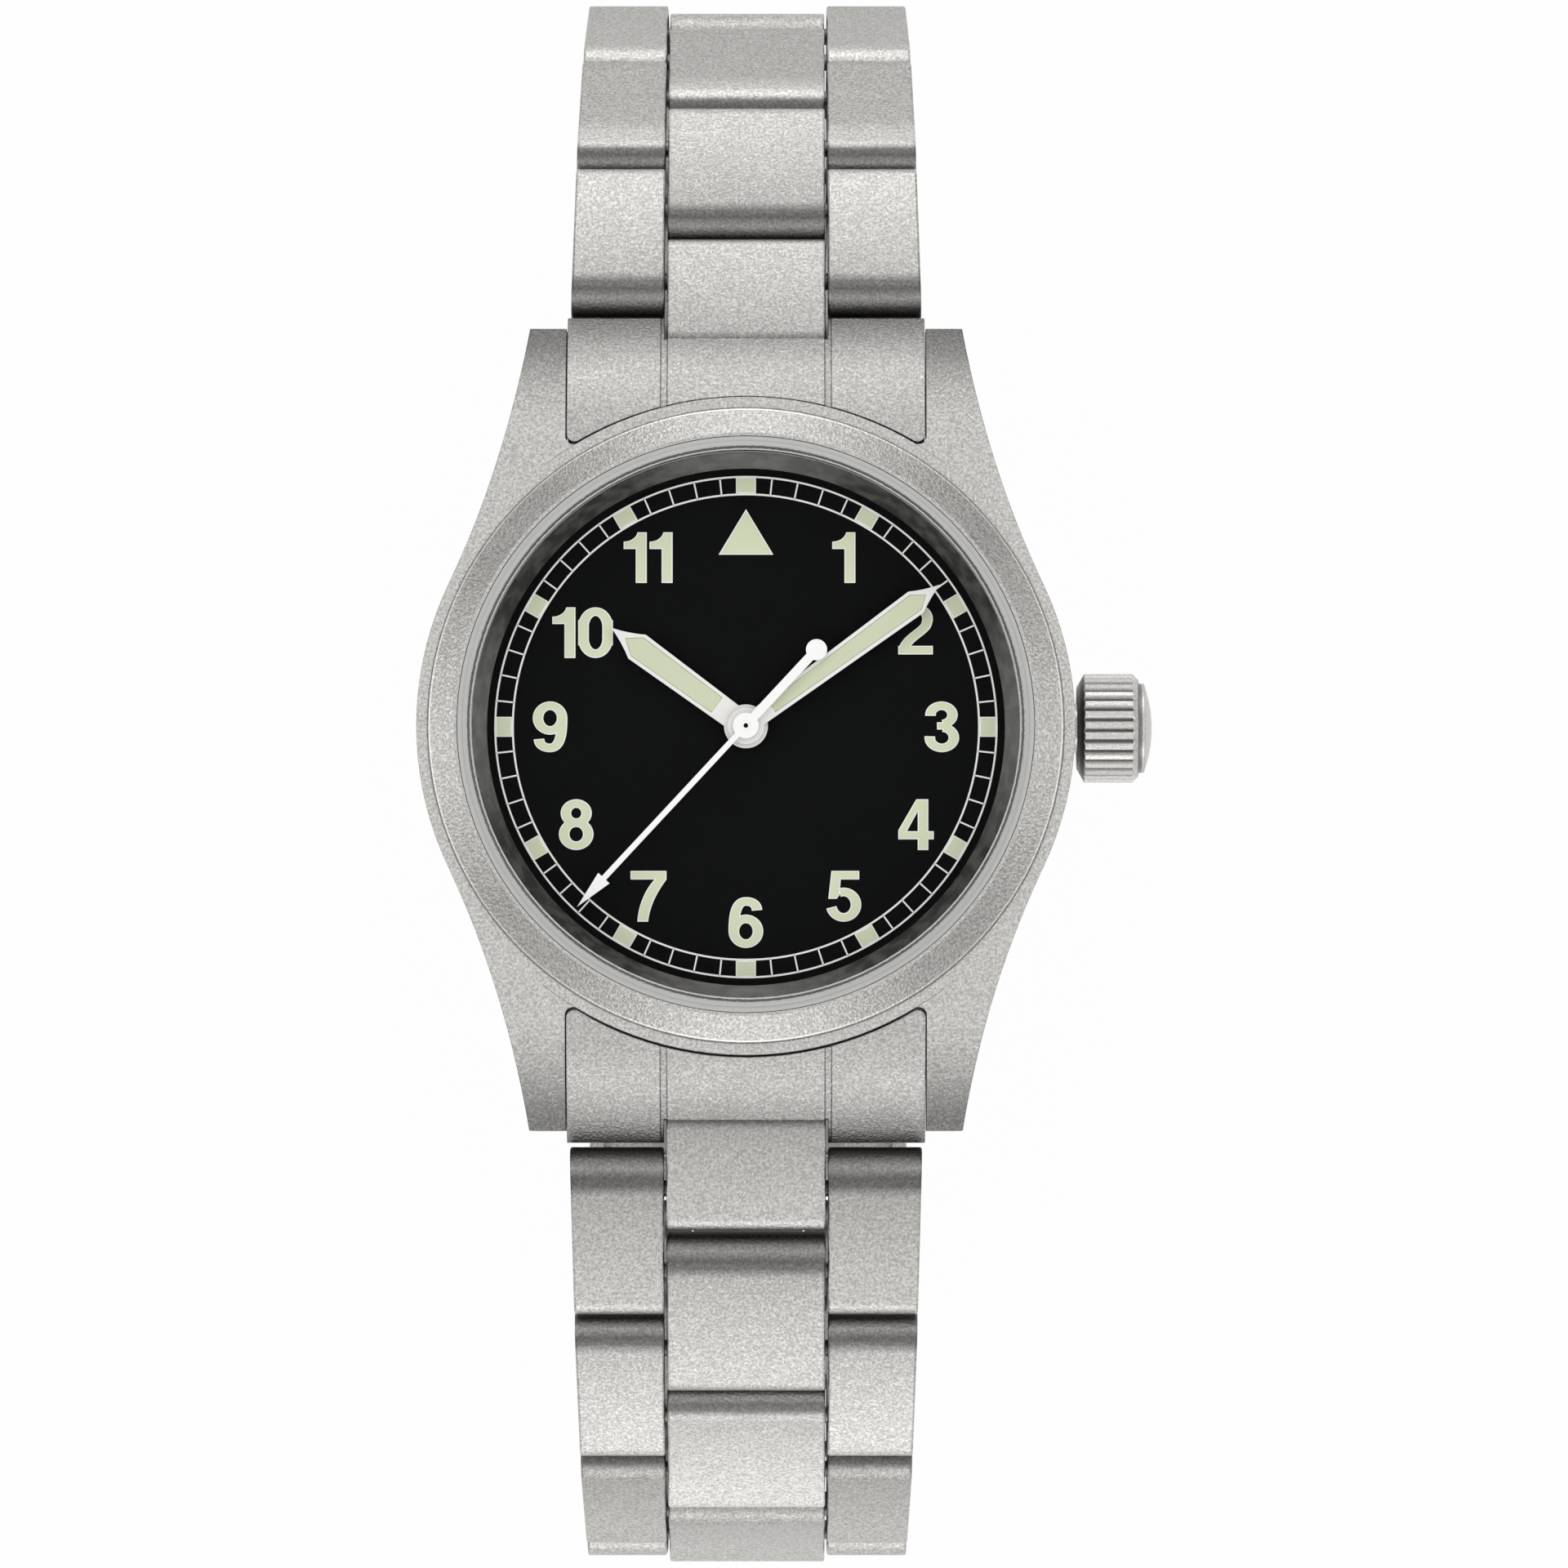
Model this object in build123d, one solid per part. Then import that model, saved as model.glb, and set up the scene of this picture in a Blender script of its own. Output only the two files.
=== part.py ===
from build123d import *
import os
from math import asin, atan2, cos, degrees, hypot, radians, sin, sqrt

# Field watch with a three-hand quartz movement, on a steel bracelet that is closed round an
# open wrist space. Lengths are in millimetres and angles in degrees.
# The origin is on the hands' axis, in the plane of the case back's outer face.
# +Z points out through the crystal, +Y to 12 o'clock and +X to the crown.

# Case
case_wall = 2.75
case_foot = 0.9
case_height = 5.1
case_edge_radius = 0.3
lug_gap = 18.1
lug_length = 3.7
lug_flank_radius = 47.0
lug_flank_angle = 25.4
lug_fall_length = 7.6
lug_tip_top = 3.0
lug_tip_base = 0.5
lug_corner_radius = 0.4
neck_height = 0.3
neck_wall = 1.35

# Bezel, crystal and the sloped ring inside
bezel_margin = 0.61
bezel_overhang = 0.65
bezel_wall = 0.3
bezel_height = 1.15
bezel_land = 0.16
crystal_play = 0.3
crystal_thickness = 1.2
crystal_bevel = 0.2
flange_width = 0.75
flange_lip = 0.12

# Case back
back_rim = 1.15
back_edge_radius = 0.35
back_plug_wall = 1.0
back_plug_height = 0.6
back_notch_count = 6
back_notch_width = 2.2
back_notch_depth = 1.1
seal_cord = 0.5

# Dial and hands
dial_top = 4.6
dial_thickness = 0.4
hand_thickness = 0.14
hand_step = 0.33
hand_first_gap = 0.3
hand_lume_border = 0.17
hand_lume_depth = 0.09
hour_length = 8.37
hour_shoulder = 6.77
hour_shoulder_width = 1.48
hour_root_width = 1.22
hour_hub_radius = 1.1
hour_lume_start = 1.8
minute_length = 12.05
minute_shoulder = 10.55
minute_shoulder_width = 1.3
minute_root_width = 0.92
minute_hub_radius = 0.92
minute_lume_start = 1.6
seconds_length = 12.4
seconds_head_length = 1.96
seconds_head_width = 0.77
seconds_shaft_width = 0.28
seconds_tail_width = 0.46
seconds_ball_radius = 0.53
seconds_ball_reach = 5.2
seconds_hub_radius = 0.645
hour_angle = 306.25
minute_angle = 53.9
seconds_angle = 222.9

# Movement plates and fixed pieces
plate_radius = 11.7
plate_base = 2.55
plate_thickness = 1.5
ring_wall = 1.85
ring_play = 0.15
bridge_base = 1.2
bridge_thickness = 0.3
bridge_left = 4.4
bridge_right = 4.6
bridge_top = 6.6
bridge_bottom = 1.2
pillar_radius = 0.35
battery_radius = 3.95
battery_height = 2.0
battery_base = 0.95
battery_x = -4.4
battery_y = -5.3
board_length = 6.4
board_width = 4.8
board_thickness = 0.2
board_x = 4.8
board_y = -6.1
chip_side = 2.0
chip_height = 0.5
resonator_radius = 0.55
resonator_length = 4.0
stator_left = -0.3
stator_right = 6.5
stator_front = 3.7
stator_depth = 1.75
stator_leg = 1.2
stator_back = 8.9
stator_base = 2.0
stator_thickness = 0.32
coil_radius = 0.66
coil_margin = 0.2
core_width = 0.9
core_thickness = 0.3

# Wheels: teeth, arbor places and the levels of the discs
arbor_radius = 0.1
wheel_thickness = 0.1
pinion_height = 0.2
level_gap = 0.05
third_distance = 3.06
third_angle = 150.0
intermediate_distance = 3.2
intermediate_angle = 60.0
rotor_distance = 1.9
rotor_angle = 75.0
minute_wheel_distance = 2.4
minute_wheel_angle = -45.0
rotor_leaves = 6
intermediate_teeth = 30
intermediate_leaves = 10
seconds_teeth = 60
seconds_leaves = 8
third_teeth = 60
third_leaves = 8
centre_teeth = 64
cannon_leaves = 12
minute_wheel_teeth = 36
minute_wheel_leaves = 10
hour_wheel_teeth = 40
rotor_magnet_radius = 0.6
rotor_magnet_height = 0.42
rotor_air_gap = 0.2
seconds_arbor_radius = 0.13
centre_pipe_radius = 0.42
hour_pipe_wall = 0.26
motion_level = 3.66

# Crown, stem and setting lever
stem_level = 3.4
stem_radius = 0.45
stem_inner_end = 6.9
stem_groove_place = 9.5
stem_groove_width = 0.42
stem_groove_radius = 0.25
lever_length = 1.7
lever_width = 1.3
lever_thickness = 0.16
lever_nib_radius = 0.15
crown_pull = 0.9
tube_radius = 1.25
tube_reach = 1.35
crown_back_radius = 2.07
crown_back_length = 0.38
crown_radius = 2.73
crown_barrel_length = 2.42
crown_front_length = 0.28
crown_rim_radius = 2.25
crown_rim_length = 0.3
crown_cap_rise = 0.4
crown_flutes = 30
crown_flute_depth = 0.15
crown_start_gap = 0.12
crown_bore_depth = 1.7

# Bracelet
centre_width = 8.0
side_inset = 0.15
side_taper_share = 0.024
column_gap = 0.13
link_thickness = 2.4
pin_pitch = 4.3
first_pitch = 3.85
link_gap = 0.1
link_top_radius = 0.75
link_edge_radius = 0.12
pin_radius = 0.42
rows_per_side = 13
pivot_setback = 0.95
pivot_z = 1.8
visor_setback = 0.5
end_link_overhang = 0.6
end_link_drop = 0.12
end_link_round = 0.5
groove_width = 0.34
groove_depth = 0.3
bar_setback = 2.9
bar_radius = 0.52
bar_tip_radius = 0.36
bar_tip_length = 0.8

# Tilt of the rows against each other on the closed bracelet, from the case outwards
drape_12 = (21.5, 5.5, 9.5, 11.0, 9.5, 8.0)
drape_6 = (3.0, 11.7, 11.7, 11.7, 11.7, 11.7, 11.7)

# Folding clasp
clasp_span = 43.5
cover_wall = 0.75
cover_head_gap = 0.3
cover_depth = 2.3
cover_start = 1.2
cover_arch = 0.6
cover_end_gap = 0.5
cover_edge_radius = 0.3
blade_thickness = 0.7
blade_half_width = 5.2
short_half_width = 2.7
blade_hinge_back = 4.2
blade_hinge_level = 0.5
blade_turn_place = 5.4
blade_turn_level = -0.35
blade_knuckle_radius = 0.72
blade_pin_radius = 0.36
short_level = -0.45
loop_radius = 1.0
notch_half_width = 3.0
blade_window_length = 14.0
blade_window_half_width = 2.9

# Clearances
pressed = 0.01
running = 0.03
slip = 0.05
overrun = 1.0


def disc(radius, base, height, x=0, y=0):
    """Upright cylinder standing on the level base."""
    return Pos(x, y, base) * extrude(Circle(radius), height)


def ring(outer, inner, base, height):
    """Upright tube standing on the level base."""
    return Pos(0, 0, base) * extrude(Circle(outer) - Circle(inner), height)


def block(x0, x1, y0, y1, z0, z1):
    """Box between two corners."""
    box = Box(x1 - x0, y1 - y0, z1 - z0)
    return Pos((x0 + x1) / 2, (y0 + y1) / 2, (z0 + z1) / 2) * box


def lying_rod(radius, x0, x1, y, z):
    """Cylinder along X between x0 and x1."""
    return Pos(x0, y, z) * (Rot(0, 90, 0) * extrude(Circle(radius), x1 - x0))


def side_prism(points_wire, half_width):
    """Prism along X of an outline drawn in the Y-Z plane, centred on x = 0."""
    outline = Plane.YZ * make_face(points_wire)
    return Pos(-half_width, 0, 0) * extrude(outline, 2 * half_width, dir=(1, 0, 0))


def turned(points):
    """Solid turned about Z from an outline of (radius, level) points."""
    outline = Plane.XZ * make_face(Polyline(*points, close=True))
    return revolve(outline, Axis.Z)


def place(distance, angle):
    """Point at a distance and angle from the hands' axis."""
    return distance * cos(radians(angle)), distance * sin(radians(angle))


def save(node, *solids):
    """Write one node, whose pieces stay separate solids."""
    pieces = [piece for solid in solids for piece in solid.solids()]
    shape = pieces[0] if len(pieces) == 1 else Compound(children=pieces)
    export_step(shape, f"parts/{node}.step")


# Radii and places that follow from the sizes above, from the movement outwards
ring_inner_radius = plate_radius + slip
ring_outer_radius = ring_inner_radius + ring_wall
case_bore_radius = ring_outer_radius + ring_play
case_radius = case_bore_radius + case_wall
neck_outer_radius = case_bore_radius + neck_wall
bezel_outer_radius = case_radius - bezel_margin
bezel_inner_radius = neck_outer_radius - bezel_overhang
crystal_radius = bezel_inner_radius - crystal_play
flange_foot_radius = case_bore_radius - flange_width
back_radius = case_bore_radius + back_rim
lug_reach = case_radius + lug_length
lug_fall_start = lug_reach - lug_fall_length
bar_place = lug_reach - bar_setback
pivot_y = lug_reach - pivot_setback
visor_reach = lug_reach - visor_setback
end_link_reach = lug_reach + end_link_overhang
side_outer_half_width = lug_gap / 2 - side_inset

# Levels that follow from the sizes above
case_top = case_foot + case_height
neck_top = case_top + neck_height
crystal_base = neck_top
crystal_top = crystal_base + crystal_thickness
bezel_top = case_top + bezel_height
dial_base = dial_top - dial_thickness
plate_top = plate_base + plate_thickness
bridge_floor = bridge_base + bridge_thickness
hour_level = dial_top + hand_first_gap
minute_level = hour_level + hand_step
seconds_level = minute_level + hand_step

# Wheel levels, from the back of the movement towards the dial
intermediate_level = bridge_floor + 2 * level_gap
intermediate_pinion_level = intermediate_level + wheel_thickness + level_gap
seconds_wheel_level = intermediate_pinion_level + level_gap
seconds_pinion_level = seconds_wheel_level + wheel_thickness
third_level = seconds_pinion_level + level_gap
third_pinion_level = third_level + wheel_thickness
centre_level = third_pinion_level + level_gap
minute_pinion_level = motion_level + wheel_thickness + level_gap

third_x, third_y = place(third_distance, third_angle)
intermediate_x, intermediate_y = place(intermediate_distance, intermediate_angle)
rotor_x = intermediate_x + place(rotor_distance, rotor_angle)[0]
rotor_y = intermediate_y + place(rotor_distance, rotor_angle)[1]
minute_wheel_x, minute_wheel_y = place(minute_wheel_distance, minute_wheel_angle)


def fall_radius():
    """Radius of the arc on which the lug tops fall from the case to their tips."""
    run = lug_reach - lug_fall_start
    drop = case_top - lug_tip_top
    return (run**2 + drop**2) / (2 * drop)


def fall_level(y, drop=0):
    """Level of the lug top at a distance y from the middle, lowered by drop."""
    radius = fall_radius()
    run = max(y - lug_fall_start, 0)
    return case_top - radius + sqrt(radius**2 - run**2) - drop


def case_outline():
    """Plan of the case: round sides that sweep out into four lugs."""
    centre_x = (case_radius + lug_flank_radius) * cos(radians(lug_flank_angle))
    centre_y = (case_radius + lug_flank_radius) * sin(radians(lug_flank_angle))
    start_x, start_y = place(case_radius, lug_flank_angle)
    tip_x = centre_x - sqrt(lug_flank_radius**2 - (centre_y - lug_reach)**2)
    mid_y = (start_y + lug_reach) / 2
    mid_x = centre_x - sqrt(lug_flank_radius**2 - (centre_y - mid_y)**2)
    right = ThreePointArc((start_x, -start_y), (case_radius, 0), (start_x, start_y))
    left = ThreePointArc((-start_x, start_y), (-case_radius, 0), (-start_x, -start_y))
    flanks = []
    for sx, sy in ((1, 1), (-1, 1), (-1, -1), (1, -1)):
        flanks.append(ThreePointArc(
            (sx * start_x, sy * start_y), (sx * mid_x, sy * mid_y), (sx * tip_x, sy * lug_reach)))
    tips = [Line((-tip_x, sy * lug_reach), (tip_x, sy * lug_reach)) for sy in (1, -1)]
    return make_face(Wire.combine([right, left, *flanks, *tips])[0])


def lug_profile():
    """Side view of the case with its lugs: flat on top, falling in an arc to the tips."""
    mid_y = (lug_fall_start + lug_reach) / 2
    top = Line((-lug_fall_start, case_top), (lug_fall_start, case_top))
    front = ThreePointArc(
        (lug_fall_start, case_top), (mid_y, fall_level(mid_y)), (lug_reach, lug_tip_top))
    back = ThreePointArc(
        (-lug_fall_start, case_top), (-mid_y, fall_level(mid_y)), (-lug_reach, lug_tip_top))
    foot_y = back_radius + slip
    base = Polyline(
        (lug_reach, lug_tip_top), (lug_reach, lug_tip_base), (foot_y, case_foot),
        (-foot_y, case_foot), (-lug_reach, lug_tip_base), (-lug_reach, lug_tip_top))
    return make_face(Wire.combine([top, front, back, base])[0])


def lug_slot():
    """Plan of the space between a pair of lugs, down to the round case wall."""
    half = lug_gap / 2
    reach = lug_reach + overrun
    space = Pos(0, reach / 2) * Rectangle(2 * half, reach) - Circle(case_radius)
    inner = [v for v in space.vertices() if v.Y < case_radius * cos(asin(half / case_radius)) + running]
    return fillet(inner, lug_corner_radius)


def make_case():
    """Case middle: barrel, four lugs, crystal seat and the bores for back, tube and bars."""
    plan = extrude(case_outline(), case_top + overrun)
    profile = Plane.YZ * lug_profile()
    lugs = plan & (Pos(-case_radius - overrun, 0, 0) * extrude(
        profile, 2 * (case_radius + overrun), dir=(1, 0, 0)))
    barrel = disc(case_radius, case_foot, case_height)
    body = lugs + barrel
    slot = extrude(lug_slot(), case_top + overrun)
    body = body - slot - Rot(0, 0, 180) * slot
    tops = [edge for edge in body.edges().filter_by(GeomType.CIRCLE) if edge_is_low_rim(edge)]
    body = chamfer(tops, case_edge_radius)
    body += ring(neck_outer_radius, case_bore_radius, case_top, neck_height)
    body -= disc(case_bore_radius, -overrun, crystal_top + 2 * overrun)
    groove = ring(case_bore_radius + seal_cord + slip, case_bore_radius - overrun,
                  case_foot - overrun, overrun + seal_cord + slip)
    body -= groove
    body -= lying_rod(tube_radius, 0, case_radius + overrun, 0, stem_level)
    for sy in (1, -1):
        body -= lying_rod(bar_tip_radius + running, -lug_gap / 2 - bar_tip_length - slip,
                          lug_gap / 2 + bar_tip_length + slip, sy * bar_place, pivot_z)
    return body


def edge_is_low_rim(edge):
    """True for the round rim at the foot of the case wall."""
    low = abs(edge.center().Z - case_foot) < running
    return low and abs(edge.radius - case_radius) < running


def make_bezel():
    """Ring with a sloped top that holds the crystal and covers the neck of the case."""
    skirt = neck_outer_radius + slip
    return turned((
        (bezel_inner_radius, neck_top), (bezel_inner_radius, bezel_top),
        (bezel_inner_radius + bezel_land, bezel_top),
        (bezel_outer_radius, case_top + bezel_wall), (bezel_outer_radius, case_top),
        (skirt, case_top), (skirt, neck_top)))


def make_crystal():
    """Flat crystal with a bevelled rim."""
    return turned((
        (0, crystal_base), (crystal_radius, crystal_base),
        (crystal_radius, crystal_top - crystal_bevel),
        (crystal_radius - crystal_bevel, crystal_top), (0, crystal_top)))


def make_flange():
    """Sloped ring between the dial's edge and the crystal."""
    outer = case_bore_radius - running
    top = crystal_base - running
    return turned((
        (flange_foot_radius, dial_top), (outer, dial_top), (outer, top),
        (outer - flange_lip, top), (flange_foot_radius, dial_top + flange_lip)))


def make_back():
    """Case back with a plug that fits the bore and notches for the opening key."""
    plate = disc(back_radius, 0, case_foot)
    plate = fillet(plate.edges().group_by(Axis.Z)[0], back_edge_radius)
    outer = case_bore_radius - slip
    plug = ring(outer, outer - back_plug_wall, case_foot, back_plug_height)
    body = plate + plug
    for index in range(back_notch_count):
        turn = Rot(0, 0, 360 * (index + 1 / 2) / back_notch_count)
        notch = block(back_radius - back_notch_depth, back_radius + overrun,
                      -back_notch_width / 2, back_notch_width / 2, -overrun, case_foot / 2)
        body -= turn * notch
    return body


def make_seals():
    """Crystal gasket and the sealing ring of the case back."""
    crystal_seal = ring(bezel_inner_radius - running, crystal_radius,
                        crystal_base, crystal_thickness - 2 * crystal_bevel)
    back_seal = ring(case_bore_radius + seal_cord, case_bore_radius, case_foot, seal_cord)
    return crystal_seal, back_seal


def make_dial():
    """Plain dial plate with its centre hole."""
    plate = disc(case_bore_radius - slip, dial_base, dial_thickness)
    return plate - disc(centre_pipe_radius + hour_pipe_wall + 3 * slip, dial_base - overrun,
                        dial_thickness + 2 * overrun)


def gear(teeth, pitch_radius, height, phase=0):
    """Toothed disc with straight-flanked teeth; phase is the angle of the first tooth."""
    module = 2 * pitch_radius / teeth
    tip = pitch_radius + module * addendum_share
    root = pitch_radius - module * dedendum_share
    step = 360 / teeth
    points = []
    for tooth in range(teeth):
        for radius, offset in ((root, -root_width_share), (tip, -tip_width_share),
                               (tip, tip_width_share), (root, root_width_share)):
            points.append(place(radius, phase + (tooth + offset) * step))
    return extrude(make_face(Polyline(*points, close=True)), height)


addendum_share = 0.85
dedendum_share = 1.2
root_width_share = 0.34
tip_width_share = 0.12


def meshing_phase(teeth, angle):
    """First-tooth angle that turns the middle of a tooth gap towards the angle."""
    return angle + 180 / teeth


def wheel_radii(first_teeth, second_teeth, distance):
    """Pitch radii of two meshing wheels at a centre distance."""
    share = first_teeth / (first_teeth + second_teeth)
    return distance * share, distance * (1 - share)


seconds_pinion_radius, third_radius = wheel_radii(seconds_leaves, third_teeth, third_distance)
third_pinion_radius, centre_radius = wheel_radii(third_leaves, centre_teeth, third_distance)
intermediate_pinion_radius, seconds_radius = wheel_radii(
    intermediate_leaves, seconds_teeth, intermediate_distance)
rotor_pinion_radius, intermediate_radius = wheel_radii(
    rotor_leaves, intermediate_teeth, rotor_distance)
cannon_radius, minute_wheel_radius = wheel_radii(
    cannon_leaves, minute_wheel_teeth, minute_wheel_distance)
minute_pinion_radius, hour_wheel_radius = wheel_radii(
    minute_wheel_leaves, hour_wheel_teeth, minute_wheel_distance)


def make_seconds_wheel():
    """Seconds wheel with its pinion and the long arbor that carries the seconds hand."""
    arbor = disc(seconds_arbor_radius, bridge_base, seconds_level + hand_thickness - bridge_base)
    wheel = Pos(0, 0, seconds_wheel_level) * gear(
        seconds_teeth, seconds_radius, wheel_thickness,
        meshing_phase(seconds_teeth, intermediate_angle))
    pinion = Pos(0, 0, seconds_pinion_level) * gear(
        seconds_leaves, seconds_pinion_radius, pinion_height, third_angle)
    return arbor + wheel + pinion


def make_third_wheel():
    """Third wheel between the seconds pinion and the centre wheel."""
    facing = third_angle + 180
    arbor = disc(arbor_radius, bridge_base, plate_base + pinion_height - bridge_base)
    wheel = Pos(0, 0, third_level) * gear(
        third_teeth, third_radius, wheel_thickness, meshing_phase(third_teeth, facing))
    pinion = Pos(0, 0, third_pinion_level) * gear(
        third_leaves, third_pinion_radius, pinion_height, facing)
    return Pos(third_x, third_y, 0) * (arbor + wheel + pinion)


def make_intermediate_wheel():
    """Wheel between the motor's rotor and the seconds wheel."""
    arbor = disc(arbor_radius, bridge_base, plate_base + pinion_height - bridge_base)
    wheel = Pos(0, 0, intermediate_level) * gear(
        intermediate_teeth, intermediate_radius, wheel_thickness,
        meshing_phase(intermediate_teeth, rotor_angle))
    pinion = Pos(0, 0, intermediate_pinion_level) * gear(
        intermediate_leaves, intermediate_pinion_radius, pinion_height, intermediate_angle + 180)
    return Pos(intermediate_x, intermediate_y, 0) * (arbor + wheel + pinion)


def make_rotor():
    """Magnet rotor of the stepping motor with its pinion."""
    arbor = disc(arbor_radius, bridge_base, plate_base + pinion_height - bridge_base)
    pinion = Pos(0, 0, intermediate_level - level_gap) * gear(
        rotor_leaves, rotor_pinion_radius, pinion_height, rotor_angle + 180)
    magnet = disc(rotor_magnet_radius, stator_base - level_gap, rotor_magnet_height)
    return Pos(rotor_x, rotor_y, 0) * (arbor + pinion + magnet)


def make_centre_wheel():
    """Centre wheel, its pipe and the cannon pinion that drives the motion work."""
    top = minute_level + hand_thickness
    pipe = disc(centre_pipe_radius, centre_level, top - centre_level)
    wheel = Pos(0, 0, centre_level) * gear(
        centre_teeth, centre_radius, wheel_thickness, meshing_phase(centre_teeth, third_angle))
    cannon = Pos(0, 0, motion_level - level_gap) * gear(
        cannon_leaves, cannon_radius, pinion_height, minute_wheel_angle)
    bore = disc(seconds_arbor_radius + running, centre_level - overrun, top)
    return pipe + wheel + cannon - bore


def make_minute_wheel():
    """Minute wheel of the motion work, with its pinion and pivot."""
    facing = minute_wheel_angle + 180
    pivot = disc(arbor_radius, motion_level - pinion_height, pinion_height)
    wheel = Pos(0, 0, motion_level) * gear(
        minute_wheel_teeth, minute_wheel_radius, wheel_thickness,
        meshing_phase(minute_wheel_teeth, facing))
    pinion = Pos(0, 0, motion_level + wheel_thickness) * gear(
        minute_wheel_leaves, minute_pinion_radius, pinion_height, facing)
    return Pos(minute_wheel_x, minute_wheel_y, 0) * (pivot + wheel + pinion)


def make_hour_wheel():
    """Hour wheel with the pipe that carries the hour hand."""
    bore_radius = centre_pipe_radius + running
    pipe_radius = bore_radius + hour_pipe_wall
    top = hour_level + hand_thickness
    wheel = Pos(0, 0, minute_pinion_level) * gear(
        hour_wheel_teeth, hour_wheel_radius, wheel_thickness,
        meshing_phase(hour_wheel_teeth, minute_wheel_angle))
    pipe = disc(pipe_radius, minute_pinion_level, top - minute_pinion_level)
    return wheel + pipe - disc(bore_radius, 0, top + overrun)


def point_hand(outline, level, angle, hub_radius, bore_radius):
    """Flat hand drawn along +Y, turned clockwise to its angle, with hub and bore."""
    blade = extrude(outline, hand_thickness) + disc(hub_radius, 0, hand_thickness)
    blade -= disc(bore_radius, -overrun, hand_thickness + 2 * overrun)
    return Pos(0, 0, level) * (Rot(0, 0, -angle) * blade)


def blade_outline(length, shoulder, shoulder_width, root_width):
    """Hand that widens to its shoulders and then tapers in hollow curves to the tip."""
    half, root = shoulder_width / 2, root_width / 2
    neck_y = shoulder + (length - shoulder) * neck_place_share
    neck_x = half * neck_width_share
    body = Polyline((-half, shoulder), (-root, 0), (root, 0), (half, shoulder))
    right = ThreePointArc((half, shoulder), (neck_x, neck_y), (0, length))
    left = ThreePointArc((0, length), (-neck_x, neck_y), (-half, shoulder))
    return make_face(Wire.combine([body, right, left])[0])


neck_place_share = 0.5
neck_width_share = 0.42


def lume_pocket(start, shoulder, shoulder_width, root_width):
    """Recess for the luminous filling, inside an even border."""
    half = shoulder_width / 2 - hand_lume_border
    root = root_width / 2 - hand_lume_border
    start_half = root + (half - root) * start / shoulder
    points = ((-start_half, start), (start_half, start), (half, shoulder),
              (0, shoulder + half * lume_tip_share), (-half, shoulder))
    outline = make_face(Polyline(*points, close=True))
    return Pos(0, 0, hand_thickness - hand_lume_depth) * extrude(outline, hand_thickness)


lume_tip_share = 1.3


def make_blade_hand(length, shoulder, widths, hub_radius, start, level, angle, bore_radius):
    """Hour or minute hand with its recess for luminous filling."""
    shoulder_width, root_width = widths
    outline = blade_outline(length, shoulder, shoulder_width, root_width)
    hand = point_hand(outline, level, angle, hub_radius, bore_radius)
    pocket = lume_pocket(start, shoulder, shoulder_width, root_width)
    return hand - Pos(0, 0, level) * (Rot(0, 0, -angle) * pocket)


def make_seconds_hand():
    """Thin seconds hand with an arrow head and a round counterweight."""
    half, tail = seconds_shaft_width / 2, seconds_tail_width / 2
    head = seconds_length - seconds_head_length
    head_half = seconds_head_width / 2
    points = ((-half, 0), (half, 0), (half, head), (head_half, head), (0, seconds_length),
              (-head_half, head), (-half, head))
    arrow = make_face(Polyline(*points, close=True))
    arm = Pos(0, -seconds_ball_reach / 2) * Rectangle(2 * tail, seconds_ball_reach)
    ball = Pos(0, -seconds_ball_reach) * Circle(seconds_ball_radius)
    return point_hand(arrow + arm + ball, seconds_level, seconds_angle,
                      seconds_hub_radius, seconds_arbor_radius)


def make_main_plate():
    """Main plate with the hollows that hold the wheels, coil, battery and stem."""
    body = disc(plate_radius, plate_base, plate_thickness)
    body -= disc(battery_radius + slip, plate_base - overrun,
                 battery_base + battery_height + slip - plate_base + overrun, battery_x, battery_y)
    body -= disc(centre_pipe_radius + running, 0, case_top)
    floor = motion_level - 2 * level_gap
    tip = hour_wheel_radius * hollow_share
    body -= disc(tip, floor, plate_top, 0, 0)
    body -= disc(minute_wheel_radius * hollow_share, floor, plate_top,
                 minute_wheel_x, minute_wheel_y)
    body -= disc(arbor_radius + running, plate_base, plate_top, minute_wheel_x, minute_wheel_y)
    for x, y in ((third_x, third_y), (intermediate_x, intermediate_y), (rotor_x, rotor_y)):
        body -= disc(arbor_radius + running, plate_base - overrun,
                     overrun + pinion_height + slip, x, y)
    body -= lying_rod(stem_radius + slip, stem_inner_end - crown_pull, plate_radius + overrun,
                      0, stem_level)
    nib = lever_nib_radius + slip
    body -= block(stem_groove_place - nib, plate_radius + overrun, -nib, nib,
                  plate_base - overrun, stem_level)
    return body


hollow_share = 1.14


def make_movement_ring():
    """Spacer that centres the movement in the case, open for the stem."""
    base = case_foot + back_plug_height + slip
    body = ring(ring_outer_radius, ring_inner_radius, base, dial_base - base)
    body -= lying_rod(stem_radius + 3 * slip, 0, case_radius, 0, stem_level)
    inner = ring_inner_radius - 4 * slip
    seat = ring(ring_inner_radius + slip, inner, plate_base - 2 * slip - 4 * slip, 4 * slip)
    return body + seat


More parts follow.
